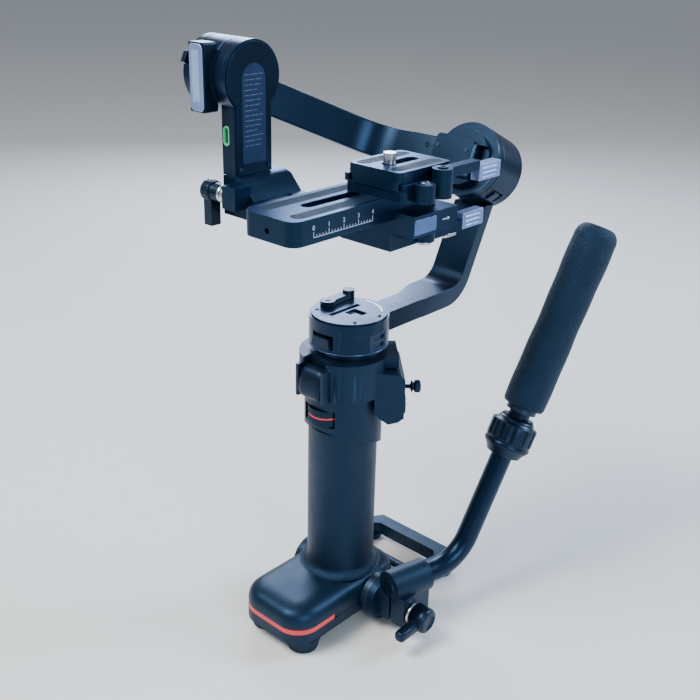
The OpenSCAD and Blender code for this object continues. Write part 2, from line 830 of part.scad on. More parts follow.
module stage_arm() {
    x = -tilt_arm_x - tilt_arm_t;
    low = shelf_low_z - shelf_t;
    end = tilt_arm_x + clamp_x - 17;
    step = tilt_arm_x + clamp_x - clamp_w / 2;
    rear = pan_y + arm_half_w + 9;
    color("#2b3340") {
        difference() {
            union() {
                // Block below the tilt arm
                along_x(x, tilt_arm_t) polygon([
                    [pan_y - arm_half_w, arm_low_z - gap], [rear, arm_low_z - gap],
                    [rear, low], [pan_y - arm_half_w, low]
                ]);
                // Shelf that carries the lower clamp
                translate([-tilt_arm_x, rear, 0]) rotate([90, 0, 0])
                    linear_extrude(rear + arm_half_w - pan_y) polygon([
                        [0, low], [end, low], [end, shelf_low_z], [step, shelf_low_z],
                        [step, shelf_low_z + 4], [13, shelf_low_z + 4], [5, arm_low_z - 2], [0, arm_low_z - gap]
                    ]);
                // Lug that takes the height lever's stud
                translate([-tilt_arm_x, lever_stud_y - 5, lever_stud_z - 6]) cube([10, 12, 12]);
            }
            translate([0, lever_stud_y, lever_stud_z]) x_cyl(lever_stud_r + fit, -tilt_arm_x - 1, 9);
            translate([15 - tilt_arm_x, 14, low - 1]) cylinder(r = 1.6, h = 20);
        }
        // Tongue that slides in the tilt arm
        translate([x + 2.4 + fit, pan_y - tongue_w / 2, arm_low_z - gap - 0.5])
            cube([tongue_t, tongue_w, tongue_h]);
    }
}

module height_lever() {
    x = -tilt_arm_x;
    hub_l = 6;
    hub_x = x - tilt_arm_t - gap - hub_l;
    sleeve_l = 5;
    translate([0, lever_stud_y, lever_stud_z]) {
        color("#b4b9c2") x_cyl(lever_stud_r, x - 6, 13);
        color("#c0c5cd") x_cyl(4.4, x - sleeve_l, sleeve_l - gap);
        color("#181c22") {
            x_cyl(4.6, hub_x + hub_l, x - sleeve_l - hub_x - hub_l);
            x_cyl(5.6, hub_x, hub_l);
            translate([hub_x, -3.2, -18.5]) cube([hub_l, 6.4, 18.5]);
        }
    }
}

// Dovetail channel of a clamp, as (x, z) around the plate's middle
module dovetail(w, low, h) {
    polygon([
        [-w / 2, low], [w / 2, low], [w / 2 - h * 0.55, low + h], [h * 0.55 - w / 2, low + h]
    ]);
}

module lower_clamp() {
    w = clamp_w;
    color("#2a3343") difference() {
        union() {
            translate([clamp_x - w / 2, clamp_y - clamp_l / 2, shelf_low_z])
                cube([w + 9, clamp_l, plate_low_z - shelf_low_z + 4.6]);
            translate([clamp_x - 17, clamp_y - clamp_l / 2, clamp_low_z])
                cube([34, clamp_l, shelf_low_z - clamp_low_z]);
        }
        translate([clamp_x - plate_w / 2 - 0.3, clamp_y - clamp_l, plate_low_z - fit])
            cube([plate_w + 0.6, 2 * clamp_l, 12]);
        translate([lever_x, lever_y, shelf_low_z - 20]) cylinder(r = lever_pin_r + fit, h = 28);
    }
}

// Quick-release lever seen from above, along +Y from its pivot
module lever_plan(len) {
    circle(5.2);
    translate([-2.6, 0]) square([5.2, len]);
}

module lower_lever() {
    color("#28303d") translate([lever_x, lever_y, 0]) {
        translate([0, 0, shelf_low_z - gap - 5.4]) linear_extrude(5.4) lever_plan(lever_len);
        translate([0, 0, shelf_low_z - 2]) cylinder(r = lever_pin_r, h = 9);
    }
}

module lever_tab(x, y, z) {
    color("#9aa6bd") translate([x, y, z]) difference() {
        translate([-2.7, 0, 0]) cube([5.4, tab_l, tab_h]);
        for (i = [0:2]) translate([2.1, 3, 1.3 + 2.4 * i]) cube([2, tab_l - 6, 1]);
    }
}

module lower_tab() { lever_tab(lever_x, lever_y + lever_len, shelf_low_z - 5.5); }

module plate_slot(x, y, l, r) {
    translate([x, y, 0]) linear_extrude(400) bar_2d([0, 0], [0, l], r);
}

module lower_plate() {
    color("#2d3748") difference() {
        translate([plate_x, plate_front_y + plate_l / 2, 0])
            round_block(plate_w, plate_l, 6, plate_low_z, plate_t);
        plate_slot(plate_x, plate_front_y + 26, 58, 3.3);
        for (s = [-1, 1]) translate([plate_x + s * 10.4, plate_front_y + plate_l / 2, 0])
            round_block(7.6, plate_l - 12, 3.7, plate_z - 1, 3);
        translate([plate_x, plate_front_y - 1, plate_low_z + 5]) rotate([-90, 0, 0]) cylinder(r = 1.6, h = 9);
    }
}

module plate_strips() {
    color("#14171c") for (s = [-1, 1]) translate([plate_x + s * 10.4, plate_front_y + plate_l / 2, 0])
        round_block(7.56, plate_l - 12.04, 3.68, plate_z - 1, 1);
}

module upper_clamp() {
    color("#27303e") difference() {
        union() {
            translate([upper_x, upper_y, 0]) round_block(upper_w + 5, upper_l - 2, 3, riser_z, 5.6);
            for (s = [-1, 1])
                translate([upper_x + s * (upper_w / 2 + 1.4) - 1.1, upper_y - upper_l / 2 + 1, riser_z + 5])
                    cube([2.2, upper_l - 2, 3.8]);
            // Bosses of the lever side
            for (y = [-8, 5]) translate([upper_lever_x, upper_y + y, riser_z]) cylinder(r = 5.2, h = 9);
        }
        translate([upper_lever_x, upper_y + 5, riser_z - 1]) cylinder(r = lever_pin_r + fit, h = 20);
        plate_slot(plate_x, upper_y - 8, 16, 3.3);
    }
}

module upper_lever() {
    color("#28303d") translate([upper_lever_x, upper_y + 5, 0]) {
        translate([0, 0, riser_z + 9 + gap]) linear_extrude(5) lever_plan(lever_len - 1);
        translate([0, 0, riser_z + 1]) cylinder(r = lever_pin_r, h = 10);
    }
}

module upper_tab() { lever_tab(upper_lever_x, upper_y + 4 + lever_len, riser_z + 3.6); }

module upper_plate() {
    color("#313c4f") difference() {
        translate([upper_x, upper_y, 0]) {
            round_block(upper_w - 3, upper_l, 3, riser_z + 5.6 + fit, 4);
            round_block(upper_w, upper_l, 3, riser_z + 9.15, upper_z - riser_z - 9.15);
        }
        plate_slot(upper_x, upper_y - 9, 18, camera_screw_r + 0.2);
        for (s = [-1, 1]) translate([upper_x + s * 10.4, upper_y, 0])
            round_block(7.4, upper_l - 4, 3.6, upper_z - 0.9, 3);
        translate([upper_x, upper_y - 9, riser_z + 5]) linear_extrude(3.2) bar_2d([0, 0], [0, 18], 6.2);
    }
}

module upper_strips() {
    color("#14171c") for (s = [-1, 1]) translate([upper_x + s * 10.4, upper_y, 0])
        round_block(7.36, upper_l - 4.04, 3.58, upper_z - 0.9, 0.9);
}

module camera_screw() {
    thread_z = upper_z + 0.3;
    color("#c3c8d0") translate([upper_x, upper_y - 8, 0]) {
        translate([0, 0, riser_z + 5.9]) cylinder(r = 5.8, h = 2);
        // Neck that keeps the screw in the plate's slot
        translate([0, 0, riser_z + 7]) cylinder(r = camera_screw_r - 0.5, h = thread_z - riser_z - 6);
        translate([0, 0, thread_z]) cylinder(r = camera_screw_r, h = 5.2);
    }
}

// ---------- sling grip ----------

module sling_clamp() {
    color("#1c2128") difference() {
        union() {
            translate([0, rosette_y, rosette_z]) x_cyl(rosette_r, clamp_in_x, 4);
            translate([clamp_in_x + 3, -4, 8]) cube([19.5, 22, 18]);
            in_sling() y_cyl(tube_r + 3, -7, 24);
        }
        translate([0, rosette_y, rosette_z]) x_cyl(rosette_hole_r + fit, clamp_in_x - 1, 40);
        in_sling() y_cyl(tube_r, -20, 60);
        // Split that the knob pulls together
        translate([sling_x - 0.8, -10, 2]) cube([1.6, 40, sling_z - 4]);
    }
}

module sling_knob() {
    x = clamp_in_x + 22.5 + gap;
    translate([0, rosette_y, rosette_z]) {
        color("#b4b9c2") x_cyl(rosette_hole_r, base_half_w + 1, x - base_half_w);
        color("#b4b9c2") x_cyl(6, x, 2);
        color("#181c22") {
            x_cyl(6.8, x + 2, 10);
            translate([x + 3.5, -20, -4.2]) cube([6.5, 21, 6.6]);
        }
    }
}

// Hollow tube, straight along local y, then through the bend and up the handle's axis;
// a ferrule inside joins each straight run to the bend
module sling_run(from, to) {
    r = tube_r;
    in_r = tube_r - tube_wall;
    ferrule_r = tube_r - tube_wall / 2;
    flat_end = sling_corner - bend_cut;
    seam = 0.1;
    in_sling() {
        difference() {
            union() {
                y_cyl(r, from, flat_end - from - seam);
                y_cyl(ferrule_r, flat_end - 3, 5);
            }
            y_cyl(in_r, from - 1, flat_end - from - 1);
            y_cyl(in_r - 0.6, from - 1, flat_end - from + 4);
        }
        translate([0, flat_end, sling_bend_r]) rotate([0, 0, 90]) rotate([90, 0, 0]) rotate([0, 0, -90])
            rotate_extrude(angle = sling_slope) translate([sling_bend_r, 0]) difference() {
                circle(r);
                circle(in_r);
            }
    }
    on_sling() difference() {
        union() {
            translate([0, 0, bend_cut + seam]) cylinder(r = r, h = to - bend_cut - seam);
            translate([0, 0, bend_cut - 2]) cylinder(r = ferrule_r, h = 5);
        }
        translate([0, 0, bend_cut + 2]) cylinder(r = in_r, h = to - bend_cut);
        translate([0, 0, bend_cut - 3]) cylinder(r = in_r - 0.6, h = 8);
    }
}

module sling_tube() {
    color("#252b33") sling_run(-5, foam_s + foam_l - 18);
}

module tube_cap() {
    color("#101216") in_sling() {
        y_cyl(tube_r, -7, 2);
        y_cyl(tube_r - 1, -8, 1.5);
        y_cyl(tube_r - tube_wall, -5.5, 6);
    }
}

module lock_collar() {
    color("#1b2027") on_sling() {
        difference() {
            union() {
                translate([0, 0, collar_s]) cylinder(r1 = tube_r + 2, r2 = foam_r, h = 5);
                translate([0, 0, collar_s + 5]) cylinder(r = foam_r + 1, h = collar_l - 8);
            }
            translate([0, 0, collar_s - 1]) cylinder(r = tube_r + fit, h = collar_l + 2);
        }
    }
}

module grip_tube() {
    low = collar_s + collar_l + gap;
    color("#30363f") on_sling() difference() {
        translate([0, 0, low]) cylinder(r = tube_r + 2.4, h = foam_s + foam_l - 3 - low);
        translate([0, 0, low - 1]) cylinder(r = tube_r + fit, h = foam_s + foam_l - 5 - low);
    }
}

module foam_grip() {
    color("#101318") on_sling() difference() {
        translate([0, 0, foam_s]) cylinder(r = foam_r, h = foam_l);
        translate([0, 0, foam_s - 1]) cylinder(r = tube_r + 2.4, h = foam_l - 2);
    }
}

base_shell();
base_cover();
base_stripe();
base_feet();
base_screws();
wrist_rest();
rosettes();
grip_shell();
battery_cells();
head_collar();
head_housing();
side_pod();
pan_stator();
pan_bearings();
trigger();
front_dial();
joystick_cradle();
joystick();
side_wheel();
pan_housing();
pan_cover();
motor_ports();
pan_lock();
pan_lever();
yaw_arm();
roll_housing();
roll_cap();
roll_bearings();
roll_lock();
roll_rotor();
roll_arm();
tilt_housing();
tilt_cap();
tilt_bearings();
light_housing();
light_diffuser();
tilt_lock();
tilt_arm();
tilt_cover();
tilt_port();
stage_arm();
height_lever();
lower_clamp();
lower_lever();
lower_tab();
lower_plate();
plate_strips();
upper_clamp();
upper_lever();
upper_tab();
upper_plate();
upper_strips();
camera_screw();
sling_clamp();
sling_knob();
sling_tube();
tube_cap();
lock_collar();
grip_tube();
foam_grip();
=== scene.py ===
import json
import math

import bmesh
import bpy
from mathutils import Matrix, Vector


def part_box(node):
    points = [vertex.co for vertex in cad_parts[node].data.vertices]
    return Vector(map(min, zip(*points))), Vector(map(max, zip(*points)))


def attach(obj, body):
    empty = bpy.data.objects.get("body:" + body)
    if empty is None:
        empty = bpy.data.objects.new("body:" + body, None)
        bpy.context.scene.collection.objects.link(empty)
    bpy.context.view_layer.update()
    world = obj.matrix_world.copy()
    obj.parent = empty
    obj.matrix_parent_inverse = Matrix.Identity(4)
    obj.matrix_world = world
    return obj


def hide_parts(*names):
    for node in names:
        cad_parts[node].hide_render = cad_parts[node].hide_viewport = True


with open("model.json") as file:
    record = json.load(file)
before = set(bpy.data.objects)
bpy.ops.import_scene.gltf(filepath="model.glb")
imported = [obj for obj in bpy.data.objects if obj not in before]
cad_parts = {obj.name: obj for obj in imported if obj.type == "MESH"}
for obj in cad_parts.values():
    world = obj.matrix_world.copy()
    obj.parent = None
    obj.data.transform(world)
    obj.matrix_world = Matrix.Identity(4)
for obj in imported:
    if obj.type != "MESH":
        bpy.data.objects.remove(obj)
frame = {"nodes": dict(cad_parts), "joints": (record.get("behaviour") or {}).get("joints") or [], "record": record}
NODES = frame["nodes"]
JOINTS = {joint["name"]: joint for joint in frame["joints"]}
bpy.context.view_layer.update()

MM = 0.001
ALONG_X = (1, 0, 0)
ALONG_Y = (0, 1, 0)
ALONG_Z = (0, 0, 1)


# ---------- materials ----------

def new_material(name):
    material = bpy.data.materials.new(name)
    material.use_nodes = True
    tree = material.node_tree
    return material, tree, tree.nodes["Principled BSDF"]


def add_node(tree, kind, **inputs):
    node = tree.nodes.new(kind)
    for key, value in inputs.items():
        node.inputs[key.replace("_", " ")].default_value = value
    return node


def object_noise(tree, scale, detail=4.0, stretch=(1, 1, 1)):
    """Noise in the object's own coordinates, which are in metres."""
    coords = tree.nodes.new("ShaderNodeTexCoord")
    mapping = tree.nodes.new("ShaderNodeMapping")
    mapping.inputs["Scale"].default_value = stretch
    noise = add_node(tree, "ShaderNodeTexNoise", Scale=scale, Detail=detail)
    tree.links.new(coords.outputs["Object"], mapping.inputs["Vector"])
    tree.links.new(mapping.outputs["Vector"], noise.inputs["Vector"])
    return noise


def ramp(tree, source, low, high, start=0.3, end=0.7):
    node = tree.nodes.new("ShaderNodeValToRGB")
    node.color_ramp.elements[0].position = start
    node.color_ramp.elements[1].position = end
    node.color_ramp.elements[0].color = (*low, 1)
    node.color_ramp.elements[1].color = (*high, 1)
    tree.links.new(source, node.inputs["Fac"])
    return node.outputs["Color"]


def spread(tree, source, low, high):
    node = add_node(tree, "ShaderNodeMapRange", To_Min=low, To_Max=high)
    tree.links.new(source, node.inputs["Value"])
    return node.outputs["Result"]


def shade(color, factor):
    return tuple(min(1.0, channel * factor) for channel in color)


def edge_mask(tree, radius):
    """1 on edges and 0 on open faces, broken up by noise; it marks pale edges that are partly wear and partly
    painted highlight.
    """
    bevel = tree.nodes.new("ShaderNodeBevel")
    bevel.samples = 4
    bevel.inputs["Radius"].default_value = radius
    geometry = tree.nodes.new("ShaderNodeNewGeometry")
    dot = tree.nodes.new("ShaderNodeVectorMath")
    dot.operation = "DOT_PRODUCT"
    tree.links.new(bevel.outputs["Normal"], dot.inputs[0])
    tree.links.new(geometry.outputs["Normal"], dot.inputs[1])
    mask = add_node(tree, "ShaderNodeMapRange", From_Min=0.99, From_Max=0.86, To_Min=0.0, To_Max=1.0)
    tree.links.new(dot.outputs["Value"], mask.inputs["Value"])
    patches = object_noise(tree, 260.0, 3.0)
    broken = tree.nodes.new("ShaderNodeMath")
    broken.operation = "MULTIPLY"
    tree.links.new(mask.outputs["Result"], broken.inputs[0])
    tree.links.new(spread(tree, patches.outputs["Fac"], 0.1, 1.0), broken.inputs[1])
    return broken.outputs["Value"]


def surface(name, color, roughness, grain=900.0, bump=0.08, metallic=0.0, wear_and_highlight=0.0, stretch=(1, 1, 1),
            coat=0.0, cells=False, specular=0.5, tint=(1, 1, 1)):
    """A moulded or anodised surface: tinted patches, uneven sheen, fine grain and pale edges that are partly wear
    and partly painted highlight.
    """
    material, tree, shader = new_material(name)
    shader.inputs["Metallic"].default_value = metallic
    shader.inputs["Coat Weight"].default_value = coat
    shader.inputs["Coat Roughness"].default_value = 0.25
    shader.inputs["Specular IOR Level"].default_value = specular
    shader.inputs["Specular Tint"].default_value = (*tint, 1)
    patches = object_noise(tree, 38.0, 5.0)
    tone = ramp(tree, patches.outputs["Fac"], shade(color, 0.82), shade(color, 1.2))
    if wear_and_highlight:
        # Edges lightened in the surface's own blue: partly wear, partly a painted highlight
        mixer = tree.nodes.new("ShaderNodeMix")
        mixer.data_type = "RGBA"
        mixer.inputs["B"].default_value = (*shade(color, 1 + 9 * wear_and_highlight), 1)
        tree.links.new(edge_mask(tree, 0.0006), mixer.inputs["Factor"])
        tree.links.new(tone, mixer.inputs["A"])
        tone = mixer.outputs["Result"]
    tree.links.new(tone, shader.inputs["Base Color"])
    smudges = object_noise(tree, 90.0, 6.0, stretch)
    tree.links.new(spread(tree, smudges.outputs["Fac"], roughness * 0.8, min(1.0, roughness * 1.25)),
                   shader.inputs["Roughness"])
    if cells:
        coords = tree.nodes.new("ShaderNodeTexCoord")
        height = add_node(tree, "ShaderNodeTexVoronoi", Scale=grain)
        tree.links.new(coords.outputs["Object"], height.inputs["Vector"])
        relief = height.outputs["Distance"]
    else:
        relief = object_noise(tree, grain, 2.0, stretch).outputs["Fac"]
    bumper = add_node(tree, "ShaderNodeBump", Strength=bump, Distance=0.0004)
    tree.links.new(relief, bumper.inputs["Height"])
    tree.links.new(bumper.outputs["Normal"], shader.inputs["Normal"])
    return material


NAVY = (0.0014, 0.0062, 0.0150)
INK = (0.0014, 0.0060, 0.0155)
SLATE = (0.0028, 0.0112, 0.0270)
SOOT = (0.0012, 0.0034, 0.0078)
COOL = (0.28, 0.56, 1.0)
MATERIALS = {
    "housing_plastic": surface("moulded_housing", NAVY, 0.42, 1500.0, 0.22, wear_and_highlight=0.25, tint=COOL),
    "arm_metal": surface("anodised_arm", INK, 0.3, 2600.0, 0.1, metallic=0.2, wear_and_highlight=0.6, tint=COOL),
    "stage_metal": surface("anodised_stage", SLATE, 0.34, 2200.0, 0.14, metallic=0.4, wear_and_highlight=0.7,
                           stretch=(1, 0.2, 1), tint=COOL),
    "black_trim": surface("black_trim", SOOT, 0.36, 1300.0, 0.15, wear_and_highlight=0.3, tint=COOL),
    "accent_red": surface("red_accent", (0.62, 0.03, 0.035), 0.35, 1200.0, 0.08, coat=0.3),
    "foot_rubber": surface("rubber", (0.0030, 0.0075, 0.016), 0.66, 1800.0, 0.35, cells=True, tint=COOL),
    "fastener_steel": surface("bright_steel", (0.62, 0.64, 0.68), 0.26, 1600.0, 0.1, metallic=1.0,
                              stretch=(1, 1, 0.1)),
    "inner_metal": surface("dark_alloy", (0.016, 0.032, 0.062), 0.36, 1600.0, 0.12, metallic=0.7, wear_and_highlight=0.3),
    "tab_grey": surface("pale_tab", (0.19, 0.26, 0.48), 0.36, 1900.0, 0.12, metallic=0.5, wear_and_highlight=0.15),
    "light_panel": surface("frosted_panel", (0.17, 0.27, 0.44), 0.4, 900.0, 0.1, coat=0.4),
    "cell_wrap": surface("cell_wrap", (0.05, 0.22, 0.10), 0.35, 900.0, 0.05),
    "port_green": surface("green_ring", (0.05, 0.42, 0.16), 0.4, 900.0, 0.06, coat=0.2),
    "foam": surface("pebbled_foam", (0.0024, 0.0080, 0.0165), 0.6, 1150.0, 0.9, cells=True, tint=COOL),
    "arm_cover": surface("arm_cover", (0.0018, 0.0058, 0.0150), 0.24, 2600.0, 0.08, metallic=0.2, wear_and_highlight=0.8,
                         tint=COOL),
}
GRIP = surface("grip_skin", (0.0016, 0.0068, 0.0160), 0.42, 1900.0, 0.5, cells=True, wear_and_highlight=0.1, tint=COOL)
LABEL = surface("label_film", (0.008, 0.019, 0.050), 0.36, 1400.0, 0.05, tint=COOL)
PRINT = surface("pale_print", (0.42, 0.48, 0.62), 0.5, 1200.0, 0.05)
PRINT_DIM = surface("dim_print", (0.07, 0.09, 0.14), 0.5, 1200.0, 0.05)
# Light blue painted on motor chamfers and edges as a highlight
HIGHLIGHT_BLUE = surface("painted_highlight_edge", (0.045, 0.10, 0.26), 0.2, 2400.0, 0.06, metallic=0.6, coat=0.3)
# Near-black sheet that paints the shade inside the pan cover's slot
SLOT_SHADE_BLACK = surface("painted_slot_shade", (0.004, 0.005, 0.007), 0.12, 900.0, 0.02, coat=0.6)
TRIM = MATERIALS["black_trim"]
STEEL = MATERIALS["fastener_steel"]
ALLOY = MATERIALS["inner_metal"]

for part in frame["record"]["subparts"]:
    obj = NODES[part["node"]]
    obj.data.materials.clear()
    obj.data.materials.append(MATERIALS[part["material_slot"]])
NODES["grip_shell"].data.materials[0] = GRIP


# ---------- soft edges on the CAD pieces ----------

EDGE_WIDTH = {
    "base_cover": 0.6, "wrist_rest": 1.4, "head_housing": 0.9, "side_pod": 0.9, "stage_arm": 0.9,
    "lower_clamp": 0.8, "tilt_arm": 0.35, "lower_tab": 0.45, "upper_tab": 0.45, "sling_clamp": 0.9,
    "height_lever": 0.7, "base_feet": 0.9, "light_housing": 2.0, "yaw_arm": 1.1,
    "upper_plate": 0.5, "lower_plate": 0.6, "pan_cover": 0.5, "pan_lock": 0.4,
    "tilt_cover": 0.4,
}
PLAIN_EDGE = 0.3
# Pieces that get no bevel: replaced ones, hidden ones and thin strips
SEALED = {
    "light_diffuser", "roll_arm", "base_shell", "sling_knob", "trigger", "joystick", "foam_grip", "lock_collar",
    "battery_cells", "pan_bearings", "roll_bearings", "tilt_bearings", "grip_tube",
    "base_stripe", "plate_strips", "upper_strips",
}


def soften(obj, width):
    """Welds the mesh, rounds its sharp edges and evens out its shading."""
    weld = obj.modifiers.new("weld", "WELD")
    weld.merge_threshold = 0.00001
    bevel = obj.modifiers.new("round", "BEVEL")
    bevel.limit_method = "ANGLE"
    bevel.angle_limit = math.radians(38)
    bevel.width = width * MM
    bevel.segments = 2
    bevel.harden_normals = False
    obj.modifiers.new("shading", "WEIGHTED_NORMAL")


for node_name, obj in NODES.items():
    if node_name not in SEALED:
        soften(obj, EDGE_WIDTH.get(node_name, PLAIN_EDGE))


# ---------- building pieces ----------

def link(name, mesh, material, body, smooth=True):
    obj = bpy.data.objects.new(name, mesh)
    bpy.context.scene.collection.objects.link(obj)
    mesh.materials.append(material)
    for polygon in mesh.polygons:
        polygon.use_smooth = smooth
    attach(obj, body)
    return obj


def frame_at(origin, z_dir, x_hint=(1, 0, 0)):
    """Matrix whose z axis points along z_dir; origin is in millimetres."""
    z = Vector(z_dir).normalized()
    x = Vector(x_hint)
    x = (x - z * x.dot(z)).normalized()
    y = z.cross(x)
    matrix = Matrix((x, y, z)).transposed().to_4x4()
    matrix.translation = Vector(origin) * MM
    return matrix


def finish_mesh(bm, name, material, body, place=Matrix.Identity(4), smooth=True, bevel=0.0, angle=35):
    """Scales a mesh drawn in millimetres, puts it in place and rounds its edges."""
    bmesh.ops.recalc_face_normals(bm, faces=bm.faces)
    if bevel:
        edges = [e for e in bm.edges if len(e.link_faces) == 2 and e.calc_face_angle(0) > math.radians(angle)]
        bmesh.ops.bevel(bm, geom=edges, offset=bevel, segments=3, affect="EDGES", clamp_overlap=True)
    bmesh.ops.scale(bm, vec=(MM, MM, MM), verts=bm.verts)
    bmesh.ops.transform(bm, matrix=place, verts=bm.verts)
    mesh = bpy.data.meshes.new(name)
    bm.to_mesh(mesh)
    bm.free()
    obj = link(name, mesh, material, body, smooth)
    if smooth:
        obj.modifiers.new("shading", "WEIGHTED_NORMAL")
    return obj


def lathe(name, profile, place, material, body, steps=72, ribs=0, rib_depth=0.0, rib_z=(0, 0)):
    """Turns a profile of (radius, z) about the place's z axis; ribs pull in the radius between rib_z."""
    bm = bmesh.new()
    rings = []
    for radius, z in profile:
        ring = []
        for i in range(steps):
            turn = 2 * math.pi * i / steps
            r = radius
            if ribs and rib_z[0] <= z <= rib_z[1]:
                wave = max(0.0, math.cos(turn * ribs))
                r -= rib_depth * wave ** 0.5
            ring.append(bm.verts.new((r * math.cos(turn), r * math.sin(turn), z)))
        rings.append(ring)
    for low, high in zip(rings, rings[1:]):
        for i in range(steps):
            bm.faces.new((low[i - 1], low[i], high[i], high[i - 1]))
    bm.faces.new(rings[0])
    bm.faces.new(rings[-1])
    return finish_mesh(bm, name, material, body, place)


def outline_piece(bm, points, low, high):
    """Adds a prism on a 2-D outline between two heights."""
    bottom = [bm.verts.new((x, y, low)) for x, y in points]
    top = [bm.verts.new((x, y, high)) for x, y in points]
    bm.faces.new(bottom)
    bm.faces.new(top)
    for i in range(len(points)):
        bm.faces.new((bottom[i - 1], bottom[i], top[i], top[i - 1]))


def bar(bm, left, right, bottom, top, low, high):
    """Adds a rectangular prism between two heights."""
    outline_piece(bm, [(left, bottom), (right, bottom), (right, top), (left, top)], low, high)


def round_rect(w, h, r, cx=0.0, cy=0.0, steps=6):
    """Outline of a rectangle with round corners."""
    points = []
    for sx, sy, start in ((1, 1, 0), (-1, 1, 90), (-1, -1, 180), (1, -1, 270)):
        middle_x = cx + sx * (w / 2 - r)
        middle_y = cy + sy * (h / 2 - r)
        for i in range(steps + 1):
            turn = math.radians(start + 90 * i / steps)
            points.append((middle_x + r * math.cos(turn), middle_y + r * math.sin(turn)))
    return points


def arc(radius, degrees, cy=0.0):
    """Points on a circle at the given angles."""
    turns = [math.radians(a) for a in degrees]
    return [(radius * math.cos(turn), radius * math.sin(turn) + cy) for turn in turns]


def plate(name, points, thickness, place, material, body, bevel=0.15):
    bm = bmesh.new()
    outline_piece(bm, points, 0, thickness)
    return finish_mesh(bm, name, material, body, place, bevel=bevel)


# Steps round a screw head, its heights in millimetres, and its socket's share of the radius
SCREW_STEPS = 36
SCREW_RIM = 0.5
SCREW_TOP = 0.8
SOCKET_FLOOR = 0.15
SOCKET_SHARE = 0.46


def socket_screws(name, spots, radius, material, body):
    """Cap-head screws with a hexagonal socket; each spot is (origin, direction)."""
    bm = bmesh.new()
    for origin, direction in spots:
        start = len(bm.verts)
        turns = [2 * math.pi * i / SCREW_STEPS for i in range(SCREW_STEPS)]
        profile = ((radius, 0), (radius, SCREW_RIM), (radius * 0.86, SCREW_TOP))
        rings = []
        for r, z in profile:
            rings.append([bm.verts.new((r * math.cos(turn), r * math.sin(turn), z)) for turn in turns])
        for z in (SCREW_TOP, SOCKET_FLOOR):
            rings.append([])
            for turn in turns:
                side = radius * SOCKET_SHARE / math.cos((turn % (math.pi / 3)) - math.pi / 6)
                rings[-1].append(bm.verts.new((side * math.cos(turn), side * math.sin(turn), z)))
        for low, high in zip(rings, rings[1:]):
            for i in range(SCREW_STEPS):
                bm.faces.new((low[i - 1], low[i], high[i], high[i - 1]))
        bm.faces.new(rings[-1])
        bm.verts.ensure_lookup_table()
        place = frame_at(origin, direction, (0.3, 0.5, 0.81))
        place.translation = Vector(origin)
        bmesh.ops.transform(bm, matrix=place, verts=bm.verts[start:])
    return finish_mesh(bm, name, material, body, smooth=False)


def size_of(node):
    """A CAD node's lowest and highest corners in millimetres."""
    low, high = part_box(node)
    return Vector(low) / MM, Vector(high) / MM


def joint_at(name):
    """A joint's place in millimetres."""
    return Vector(JOINTS[name]["pos_m"]) / MM


# ---------- foam grip and locking collar ----------

TUBE = Vector(JOINTS["lock_collar_twist"]["axis"]).normalized()
TUBE_FOOT = joint_at("lock_collar_twist")
tube_frame = frame_at(TUBE_FOOT, TUBE)


def along_tube(node):
    """Lowest and highest reach of a CAD node along the sling handle's axis, in millimetres."""
    reach = [(Vector(v.co) / MM - TUBE_FOOT).dot(TUBE) for v in NODES[node].data.vertices]
    return min(reach), max(reach)


def radius_about_tube(node):
    spans = []
    for vertex in NODES[node].data.vertices:
        arm = Vector(vertex.co) / MM - TUBE_FOOT
        spans.append((arm - TUBE * arm.dot(TUBE)).length)
    return max(spans)


foam_low, foam_high = along_tube("foam_grip")
foam_r = radius_about_tube("foam_grip")
foam_profile = [(foam_r - 3.2, foam_low), (foam_r - 1.1, foam_low + 0.5), (foam_r - 0.35, foam_low + 2)]
foam_rows = 40
for row in range(foam_rows + 1):
    share = row / foam_rows
    swell = 0.18 * math.sin(9 * share) + 0.12 * math.sin(23 * share)
    foam_profile.append((foam_r - 0.3 + swell, foam_low + 4 + share * (foam_high - foam_low - 12)))
foam_profile += [(foam_r - 0.25, foam_high - 6), (foam_r - 1.1, foam_high - 3),
                 (foam_r - 3.2, foam_high - 0.6), (foam_r - 5, foam_high)]
foam = lathe("foam_sleeve", foam_profile, tube_frame, MATERIALS["foam"], "grip", 96)
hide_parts("foam_grip")

collar_low, collar_high = along_tube("lock_collar")
collar_r = radius_about_tube("lock_collar")
collar_profile = [
    (8.3, collar_low), (9.4, collar_low + 0.4), (10.4, collar_low + 2.6), (collar_r - 0.6, collar_low + 5.2),
    (collar_r, collar_low + 6), (collar_r, collar_low + 7.4), (collar_r - 0.7, collar_low + 7.9),
    (collar_r - 0.7, collar_low + 8.5), (collar_r, collar_low + 9), (collar_r, collar_low + 10),
    (collar_r, collar_low + 14), (collar_r, collar_low + 18.4), (collar_r - 0.6, collar_low + 19),
    (collar_r - 2.6, collar_low + 19.6), (collar_r - 3, collar_low + 21), (8.6, collar_high),
]
collar = lathe("ribbed_collar", collar_profile, tube_frame, TRIM, "lock_collar", 288, 12, 0.9,
               (collar_low + 9.5, collar_low + 18.5))
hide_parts("lock_collar")
lathe("foam_end_cap", [
    (foam_r - 5.2, foam_high - 0.5), (foam_r - 5.4, foam_high + 0.15), (4, foam_high + 0.25),
    (3.6, foam_high - 0.1), (0.4, foam_high - 0.1)],
    tube_frame, TRIM, "grip", 64)


# ---------- ruler and prints on the lower plate ----------

# Scale: where its 0 is along y, its spacing and the sizes of its lines, in millimetres
plate_low, plate_high = size_of("lower_plate")
RULER_START = -43.2
RULER_STEP = 2.0
RULER_TICKS = 21
RULER_LENGTH = RULER_STEP * (RULER_TICKS - 1)
RULER_RISE = 3.0
BASE_LINE_HALF = 0.15
TICK_HALF = 0.14
LONG_TICK = 2.6
SHORT_TICK = 1.3
PRINT_THICK = 0.12
DIGIT_SIZE = 3.2


